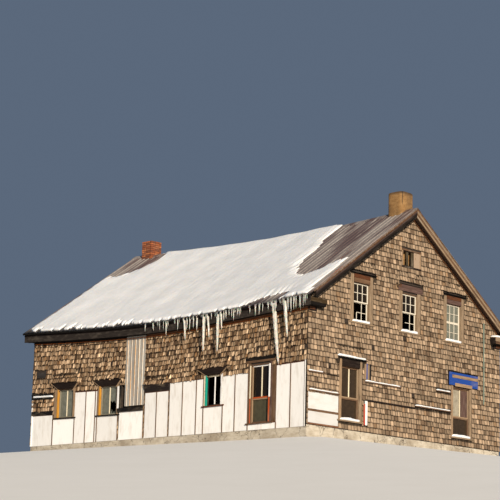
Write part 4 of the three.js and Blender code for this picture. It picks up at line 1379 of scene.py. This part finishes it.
def parged_chimney():
    """A lumpy mortar skin with a rounded top, and a crack down its face."""
    spec = CHIMNEYS["right_chimney"]
    around, rows, turns, power = 192, 46, 8, 5
    shoulder = spec["top"] - PARGING_DOME
    angle = np.linspace(0, 2 * math.pi, around, endpoint=False) + math.pi / around
    over = np.linspace(0.0, 1.5, turns)
    straight = np.linspace(CHIMNEY_FOOT, shoulder, rows, endpoint=False)
    heights = np.concatenate([straight, shoulder + PARGING_DOME * np.sin(over)])
    round_off = np.concatenate([np.ones(rows), np.cos(over) ** 0.35])
    a, h = np.meshgrid(angle, heights)
    c, s = np.cos(a), np.sin(a)
    square = (np.abs(c) ** power + np.abs(s) ** power) ** (-1 / power)
    radius = (spec["size"] / 2 + PARGING_THICK) * square * round_off[:, None]
    radius = radius * (0.99 + 0.01 * ripple(c * 2 + s * 3, h * 3, 51, 2.2))
    crack_at = math.radians(CRACK_TURN) + 0.05 * ripple(h * 9, 0 * a, 52, 2.0)
    crack = np.exp(-((a - crack_at) / 0.045) ** 2) * smooth(8.15, 8.3, h)
    radius = radius - 0.014 * crack
    rings = joined(spec["x"] + PARGING_SHIFT + radius * c, spec["y"] + PARGING_SHIFT + radius * s, h)
    soot = smooth(spec["top"] - 0.12, spec["top"] - 0.07, h)
    stain = np.maximum(1 - 0.8 * crack - 0.6 * soot, 0.2)
    solids = Solids()
    solids.tube(rings, np.stack([stain] * 4, -1).reshape(-1, 4), rings)
    solids.piece("right_chimney_parging", "parging", "parged_masonry", ["right_chimney"], soft=True)


def brick_chimney():
    """Bricks in running bond round a mortar core."""
    spec = CHIMNEYS["left_chimney"]
    half = spec["size"] / 2
    pitch = BRICK_LONG + JOINT
    core, bricks = Solids(), Solids()

    def facing(turn):
        c, s = math.cos(turn), math.sin(turn)
        return lambda u, d, v: joined(spec["x"] + (u * c + d * s), spec["y"] + (u * s - d * c), v)

    inside = (-half + 0.012, half - 0.012)
    heights = (CHIMNEY_FOOT, spec["top"] - 0.012)
    core.board(facing(0), inside, inside, heights, BROWN, 0.5, "v", steps=8)
    core.piece("left_chimney_mortar", "mortar", "brick")
    for course in range(int((spec["top"] - CHIMNEY_FOOT + JOINT) / (BRICK_HIGH + JOINT))):
        level = CHIMNEY_FOOT + course * (BRICK_HIGH + JOINT)
        odd = course % 2
        for turn in range(4):
            for start in -half + np.arange(4) * pitch - odd * pitch / 2:
                u0 = max(start, -half)
                u1 = min(start + BRICK_LONG, half - BRICK_DEEP - JOINT)
                if u1 - u0 < 0.03:
                    continue
                tone = BRICKS[rng.integers(len(BRICKS))]
                deep = (half - BRICK_DEEP, half - rng.uniform(0, 0.006))
                span = (-u1, -u0) if odd else (u0, u1)
                bricks.board(facing(turn * math.pi / 2), span, deep, (level, level + BRICK_HIGH), tone, 0.5,
                             steps=1, bevel=0.006)
    bricks.piece("left_chimney_bricks", "brick", "brick", ["left_chimney"])


# The gables at each long wall's ends, first the one that has its cornice on the right-hand side
GABLES = {"front": ("left", "right"), "back": ("right", "left")}
# The three fascia boards of a rake, each with its two heights and how far it stands out
RAKE_STEPS = ((-0.225, -0.15, 0.0), (-0.146, -0.078, 0.008), (-0.074, -0.004, 0.014))
# Colours of a rake by its slope: fascia boards and their wear, top edge, frieze and soffit. On the front
# slope the lowest fascia board and the frieze are black, painted shade
RAKE_LOOKS = {-1: ((BLACK, DARK, RAKE_BROWN), 0.12, FRIEZE_BROWN, BLACK, DARK),
              1: ((GREY_TAN, BROWN, GREY_TAN), 0.8, GREY_TAN, SOFFIT_BROWN, SOFFIT_BROWN)}


def cornice(side):
    """Fascia, soffit and frieze boards of one eave, and the boxed returns on both gables."""
    place = wall(side)
    wood = Solids()
    reach = RAKE_REACH - 0.02
    joints = [-reach, -3.1, 0.6, 3.9, reach]
    face = FASCIA_OUT - 0.045
    for a, b in zip(joints, joints[1:]):
        span = (a, b - 0.003)
        wood.board(place, span, (face - 0.022, face), (SOFFIT - 0.02, 4.344), FASCIA_DARK, 0.3, steps=6)
        for i in range(2):
            near = 0.024 + i * 0.108
            wood.board(place, span, (near, near + 0.105), (SOFFIT, SOFFIT + 0.02), BLACK, 0.0, steps=6)
    half = HALF_LENGTH - 0.01
    # The frieze is dark from the wall's start to u -0.7, painted shade, and lighter brown elsewhere, partly
    # the wood and partly painted light where sun reaches under the eave
    for a, b, colour in ((-half, -0.7, DARK), (-0.7, 3.1, FRIEZE_BROWN), (3.1, half, FRIEZE_BROWN)):
        span = (a, b - 0.003)
        wood.board(place, span, (0.002, 0.022), (FRIEZE_BOTTOM + 0.012, SOFFIT), colour, 0.0, steps=6)
        edge = (FRIEZE_BOTTOM - 0.018, FRIEZE_BOTTOM + 0.014)
        wood.board(place, span, (0.002, 0.034), edge, RUST, 0.1, steps=6)
    # A dark strip along the top of the fascia, painted shade under the roof's edge
    wood.board(place, (-reach, reach), (face, face + 0.02), (4.27, 4.31), DARK, 0.0, steps=BAYS)
    for gable, hand in zip(GABLES[side], (1, -1)):
        returns(wood, gable, hand)
    wood.piece(f"{side}_cornice_boards", "trim", "dark_trim", [f"{side}_cornice"])


def returns(wood, gable, hand):
    """The cornice's short return on a gable, with its own little roof and bed board."""
    place = wall(gable)
    roof = shear_up(place, -0.12)
    corner, end, bed_end = HALF_WIDTH + 0.008, 4.38, 4.58
    outside = HALF_WIDTH + FASCIA_OUT - 0.05
    upper, under = (OLIVE, BLACK) if hand < 0 else (GREY_TAN, BROWN)
    wood.boards(place, [
        ((outside, end), (0.262, 0.285), (4.185, 4.30), upper, 0.35),
        ((outside, end + 0.03), (0.255, 0.275), (4.095, 4.185), under, 0.0),
        ((end + 0.022, end), (0.003, 0.262), (4.095, 4.30), DARK, 0.1, "d"),
        ((corner, end + 0.02), (0.003, 0.255), (4.09, 4.11), BLACK, 0.0),
    ], hand)
    wood.boards(roof, [((outside, end - 0.01), (0.003, 0.288), (4.33, 4.352), upper, 0.6)], hand)
    wood.boards(place, [
        ((corner, bed_end), (0.003, 0.055), (3.955, 4.09), DARK, 0.1),
        ((corner, bed_end + 0.1), (0.055, 0.072), (3.99, 4.08), RUST_BROWN, 0.1),
    ], hand)
    if hand > 0:
        snow = Solids()
        lay_snow(snow, roof, between(hand, outside - 0.03, end + 0.06), 4.35, 0.27, 0.08)
        snow.piece(f"{gable}_return_snow", "snow", "snow", soft=True)


def rakes(end, across, name):
    """Fascia with a worn top edge, soffit boards and frieze under one slope of a gable."""
    tones, wear, edge, frieze, soffit = RAKE_LOOKS[across]
    wood = Solids()
    low = HALF_WIDTH - 0.006

    def place(t, d, v):
        """Maps t down the slope from the ridge, d out of the gable and v above the roof's underside."""
        return joined(end * (HALF_LENGTH + d), across * t, roof_top(t) - ROOF_PLUMB + v)

    for t in ((0.0, 2.6), (2.603, low)):
        for tone, (v0, v1, out) in zip(tones, RAKE_STEPS):
            wood.board(place, t, (RAKE_OUT - 0.033, RAKE_OUT - 0.002 + out), (v0, v1), tone, wear)
        wood.board(place, t, (RAKE_OUT + 0.006, RAKE_OUT + 0.018), (-0.014, -0.002), edge, 0.3)
        wood.board(place, t, (0.003, 0.024), (-0.17, -0.026), frieze, 0.05)
        if across > 0:
            wood.board(place, t, (0.025, 0.036), (-0.17, -0.138), SOFFIT_ORANGE, 0.05)
    for i in range(2):
        near = 0.004 + i * 0.137
        wood.board(place, (0.0, low), (near, near + 0.134), (-0.024, -0.004), soffit, 0.1)
    wood.piece(f"{name}_rake_joinery", "trim", "dark_trim", [f"{name}_rake_boards"])


# Each long icicle: place along the eave, length, half thickness, and where its tip lies along and in
ICICLES = [
    (5.29, 1.97, 0.082, 0.06, 0.22), (5.78, 1.22, 0.058, 0.15), (2.89, 1.28, 0.056, -0.05, 0.05),
    (2.26, 1.2, 0.058, -0.04, 0.03), (2.43, 0.8, 0.042, 0.1), (1.35, 0.74, 0.042, 0.08),
    (3.04, 0.62, 0.034, 0.06), (0.52, 0.5, 0.026, 0.02), (1.96, 0.5, 0.032), (6.07, 0.47, 0.018, 0.03),
    (1.08, 0.38, 0.018), (1.51, 0.43, 0.02), (1.64, 0.45, 0.018), (1.81, 0.4, 0.02), (3.19, 0.33, 0.018),
    (3.62, 0.39, 0.02), (4.57, 0.38, 0.02), (4.74, 0.37, 0.018), (5.43, 0.38, 0.018),
    (6.21, 0.43, 0.015), (6.3, 0.41, 0.015),
]
# Short icicles: from and to along the eave, how many, and the least and most of length and half thickness
SHORT_ICICLES = [
    ((-0.6, 5.8), 60, (0.08, 0.3), (0.008, 0.014)),
    ((5.9, 6.8), 16, (0.15, 0.5), (0.007, 0.012)),
]


def icicle(solids, i, x, length, thick, sideways=0.0, inward=0.0):
    """A knotted spike of ice with squashed rings."""
    c, s = circle(9)
    share = np.linspace(0, 1, max(5, int(length / 0.09)))
    knots = 1 + 0.13 * np.sin(share * length * 26 + i) + 0.06 * np.sin(share * length * 61 + 2 * i)
    radius = thick * ((1 - share) ** 0.48 * knots + 0.05)
    radius[0] = thick * 1.25
    radius = radius[:, None]
    squash = 1 + 0.15 * math.sin(i * 1.7)
    along = x + sideways * share + 0.004 * np.sin(share * 7 + i)
    back = -EAVE_REACH + 0.004 + thick + inward * share
    down = float(roof_top(EAVE_REACH - 0.03) - sag(x)) - 0.004 - share * length
    y = np.maximum(back[:, None] + radius * s / squash, -EAVE_REACH + 0.001)
    rings = joined(along[:, None] + radius * c * squash, y, down[:, None])
    solids.tube(rings, (1, 1, 1, 0), rings)


def icicles():
    """Long icicles at their places along the front eave, and many short ones between them."""
    draw = np.random.default_rng(61)
    rows = list(ICICLES)
    for ends, count, lengths, thicks in SHORT_ICICLES:
        for x in draw.uniform(*ends, count):
            rows.append((x, draw.uniform(*lengths), draw.uniform(*thicks)))
    solids = Solids()
    for i, row in enumerate(rows):
        icicle(solids, i, *row)
    solids.piece("front_icicles", "ice", "snow", soft=True)


def foundation_skin():
    """Rough plaster over rubble: the ring's own faces, uneven by a finger's width."""
    reach = np.array([HALF_LENGTH, HALF_WIDTH])
    xs, ys = (np.linspace(-half, half, int(2 * half / 0.12)) for half in (HALF_LENGTH, HALF_WIDTH))
    path = [(x, -HALF_WIDTH) for x in xs[:-1]] + [(HALF_LENGTH, y) for y in ys[:-1]]
    path += [(x, HALF_WIDTH) for x in xs[:0:-1]] + [(-HALF_LENGTH, y) for y in ys[:0:-1]]
    path = np.array(path)[:, None, :]
    facing = np.sign(path) * (np.abs(path) > reach - 1e-6)
    levels = np.linspace(0, FOUNDATION_TOP, 6)
    bulge = 0.012 * ripple(path[..., 0] * 2 + path[..., 1] * 2.3, levels[None] * 6, 71, 1.6)
    bulge = np.minimum(bulge, 0.0) - 0.001
    outside = path + facing * bulge[..., None]
    inside = path - facing * 0.35
    outer = joined(outside[..., 0], outside[..., 1], levels)
    inner = joined(inside[..., 0], inside[..., 1], np.array([FOUNDATION_TOP, 0.0]))
    loop = np.concatenate([outer, inner], 1)
    a = np.arange(loop.shape[0] * loop.shape[1]).reshape(loop.shape[:2])
    b = np.roll(a, -1, 0)
    quads = np.stack([a, np.roll(a, -1, 1), np.roll(b, -1, 1), b], -1).reshape(-1, 4)
    solids = Solids()
    solids.add(loop, [quads], (1, 1, 1, 0), loop)
    solids.piece("foundation_plaster", "plaster", "plaster", ["foundation"])


def hidden_panes():
    """Panes behind the sash bars of the hidden sides, where a sheet of glass closes their openings."""
    groups = {"back_right_glass": FRONT_WINDOWS[:2], "back_left_glass": FRONT_WINDOWS[3:],
              "left_upper_glass": GABLE_WINDOWS[:3], "left_lower_glass": GABLE_WINDOWS[3:]}
    for node, rows in groups.items():
        side = node.split("_")[0]
        glass = Solids()
        for o in (mirrored(row, -1) for row in rows):
            edges = about(o["u"], o["half"] - SASH_BAR + 0.01)
            heights = (o["bottom"] + PANE_EDGE, o["top"] - PANE_EDGE)
            glass.board(window_place(side, o), edges, PANE, heights, CREAM, steps=1, bevel=0.001)
        glass.piece(f"{node}_panes", "dark_glass", "glass", [node])


def rectangle(u0, u1, v0, v1):
    return [(u0, v0), (u1, v0), (u1, v1), (u0, v1)]


def broken_pane():
    """The front's broken window: one whole light, and one with a jagged hole."""
    o = mirrored(FRONT_WINDOWS[1], 1)
    place = window_place("front", o)
    u, half = o["u"], o["half"] - PANE_EDGE
    low, high = o["bottom"] + PANE_EDGE, o["top"] - PANE_EDGE
    middle, hole = u + 0.02, low + 0.44
    edge = [(middle + 0.002, hole + 0.02), (u + 0.12, hole - 0.05), (u + 0.2, hole + 0.03),
            (u + 0.27, hole - 0.09), (u + half, hole - 0.02)]
    glass = Solids()
    glass.pane(place, rectangle(u - half, middle, low, high))
    glass.pane(place, [*edge, (u + half, high), (middle + 0.002, high)])
    for at, tall in ((u + 0.09, 0.16), (u + 0.2, 0.09), (u + 0.3, 0.2)):
        glass.pane(place, [(at - 0.05, low), (at + 0.04, low), (at + 0.015, low + tall)])
    glass.piece("front_window_2_broken_glass", "grey_glass", "glass", ["front_window_2_pane"])


def split_pane(side, opening, upper, lower):
    """One window's glass as two sheets that differ, above and below the rail."""
    o = mirrored(opening, 1)
    edges = about(o["u"], o["half"] - PANE_EDGE)
    name = f"{side}_{o['node']}"
    for part_name, look, low, high in (("upper", upper, o["rail"], o["top"] - PANE_EDGE),
                                       ("lower", lower, o["bottom"] + PANE_EDGE, o["rail"] - 0.002)):
        glass = Solids()
        glass.pane(window_place(side, o), rectangle(*edges, low, high))
        glass.piece(f"{name}_{part_name}_glass", look, "glass", [f"{name}_pane"])


def boarded_window():
    """Three upright boards behind the sash of the gable's right lower window."""
    o = GABLE_WINDOWS[4]
    boards = Solids()
    for i in range(3):
        start = o["u"] + 0.04 + i * 0.125
        heights = (o["rail"] + 0.03, o["top"] - 0.03)
        boards.board(window_place("right", o), (start, start + 0.12), (-0.078, -0.06), heights,
                     PURPLE_BROWN, 0.35, "v")
    boards.piece("gable_window_boards", "trim", "painted_wood")


def doorway_boards():
    """Plain jambs and head of the open doorway in the back wall."""
    wood = Solids()
    wood.boards(wall("back"), DOORWAY_BOARDS)
    wood.piece("back_doorway_casing", "paint", "painted_wood")


def set_material(name, look):
    """Gives a solid that stays as it is a finish."""
    materials = NODES[name].data.materials
    if not len(materials):
        materials.append(LOOKS[look])
    for i in range(len(materials)):
        materials[i] = LOOKS[look]


def dress_nodes():
    """Finishes for walls, floors and panes."""
    for name in ("front_wall", "back_wall_left", "back_wall_right", "back_wall_over_doorway",
                 "right_gable_wall", "left_gable_wall"):
        set_material(name, "sheathing")
    for name in ("ground_floor", "loft_floor", "attic_floor"):
        set_material(name, "flooring")
    panes = {"front_window_1_pane": "grey_glass", "right_upper_window_3_pane": "grey_glass",
             "right_lower_window_1_pane": "brown_glass"}
    for name in NODES:
        if name.endswith("_pane"):
            set_material(name, panes.get(name, "dark_glass"))


def stage():
    """A pale mound, level round the walls and falling away gently on every side."""
    rings, count, level = 60, 120, -0.003
    reach = np.array([HALF_LENGTH, HALF_WIDTH]) + 0.35
    points = [(0, 0, level)]
    for r in np.geomspace(0.6, 170, rings):
        fall = 0.135 * (math.sqrt(r * r + 2.2) - math.sqrt(2.2))
        for a in np.linspace(0, 2 * math.pi, count, endpoint=False):
            direction = np.array([math.cos(a), math.sin(a)])
            rim = 1 / np.max(np.abs(direction) / reach)
            points.append((*(direction * (rim * 0.999 + r - 0.6)), level - max(0.0, fall - 0.02)))
    faces = []
    for i in range(count):
        j = (i + 1) % count
        faces.append((0, 1 + i, 1 + j))
        for base in range(1, 1 + (rings - 1) * count, count):
            faces.append((base + i, base + count + i, base + count + j, base + j))
    mesh = bpy.data.meshes.new("pale_mound")
    mesh.from_pydata([tuple(map(float, p)) for p in points], [], faces)
    mesh.polygons.foreach_set("use_smooth", np.full(len(mesh.polygons), True))
    n = Nodes("pale_floor")
    speck = n.noise(n.place(), 0.7, 3)
    mesh.materials.append(n.finish(n.mix(speck, 0xE6E4DF, 0xEEECE8), 0.85))
    mound = linked("pale_mound", mesh)


def camera():
    """The photograph's camera, turned and rolled as it was."""
    a, e, r = (math.radians(v) for v in (CAMERA_AZIMUTH, CAMERA_PITCH, CAMERA_ROLL))
    forward = Vector((-math.sin(a) * math.cos(e), math.cos(a) * math.cos(e), math.sin(e)))
    level = Vector((math.cos(a), math.sin(a), 0))
    upright = level.cross(forward)
    right = level * math.cos(r) + upright * math.sin(r)
    up = upright * math.cos(r) - level * math.sin(r)
    data = bpy.data.cameras.new("camera")
    data.lens = CAMERA_LENS
    data.sensor_width = 36
    data.clip_end = 500
    made = linked("camera", data)
    made.matrix_world = Matrix([*zip(right, up, -forward, CAMERA_PLACE), (0, 0, 0, 1)])
    bpy.context.scene.camera = made


def lights():
    """A low warm sun and a soft blue sky."""
    a, e = math.radians(SUN_AZIMUTH), math.radians(SUN_HEIGHT)
    towards = Vector((math.sin(a) * math.cos(e), -math.cos(a) * math.cos(e), math.sin(e)))
    data = bpy.data.lights.new("sun", "SUN")
    data.energy = 6.0
    data.angle = math.radians(0.5)
    data.color = (1.0, 0.88, 0.72)
    sun = linked("sun", data)
    sun.rotation_mode = "QUATERNION"
    sun.rotation_quaternion = towards.to_track_quat("Z", "Y")
    world = bpy.data.worlds.new("studio")
    world.use_nodes = True
    background = world.node_tree.nodes["Background"]
    background.inputs["Color"].default_value = (0.52, 0.70, 1.0, 1)
    background.inputs["Strength"].default_value = 0.2
    bpy.context.scene.world = world
    bpy.context.scene.view_settings.view_transform = "Standard"


camera()
lights()
stage()
dress_nodes()
foundation_skin()
long_side("front", 1)
long_side("back", -1)
gable_side("right", 1)
gable_side("left", -1)
hidden_panes()
broken_pane()
split_pane("front", FRONT_WINDOWS[3], "dark_glass", "olive_glass")
split_pane("right", GABLE_WINDOWS[4], "pale_glass", "brown_glass")
boarded_window()
doorway_boards()
metal_sheet()
roof_slope("front_roof", -1)
roof_slope("back_roof", 1)
ridge_cap("ridge_cap", CHIMNEYS["left_chimney"]["x"] + 0.27, CHIMNEYS["right_chimney"]["x"] - 0.3)
ridge_cap("right_end_ridge_cap", CHIMNEYS["right_chimney"]["x"] + 0.3, RAKE_REACH)
ridge_cap("left_end_ridge_cap", -RAKE_REACH, CHIMNEYS["left_chimney"]["x"] - 0.27)
roof_snow("front_roof_snow", -1)
roof_snow("back_roof_snow", 1)
cornice("front")
cornice("back")
for end, end_name in ((1, "right"), (-1, "left")):
    for across, across_name in ((-1, "front"), (1, "back")):
        rakes(end, across, f"{end_name}_{across_name}")
parged_chimney()
brick_chimney()
icicles()
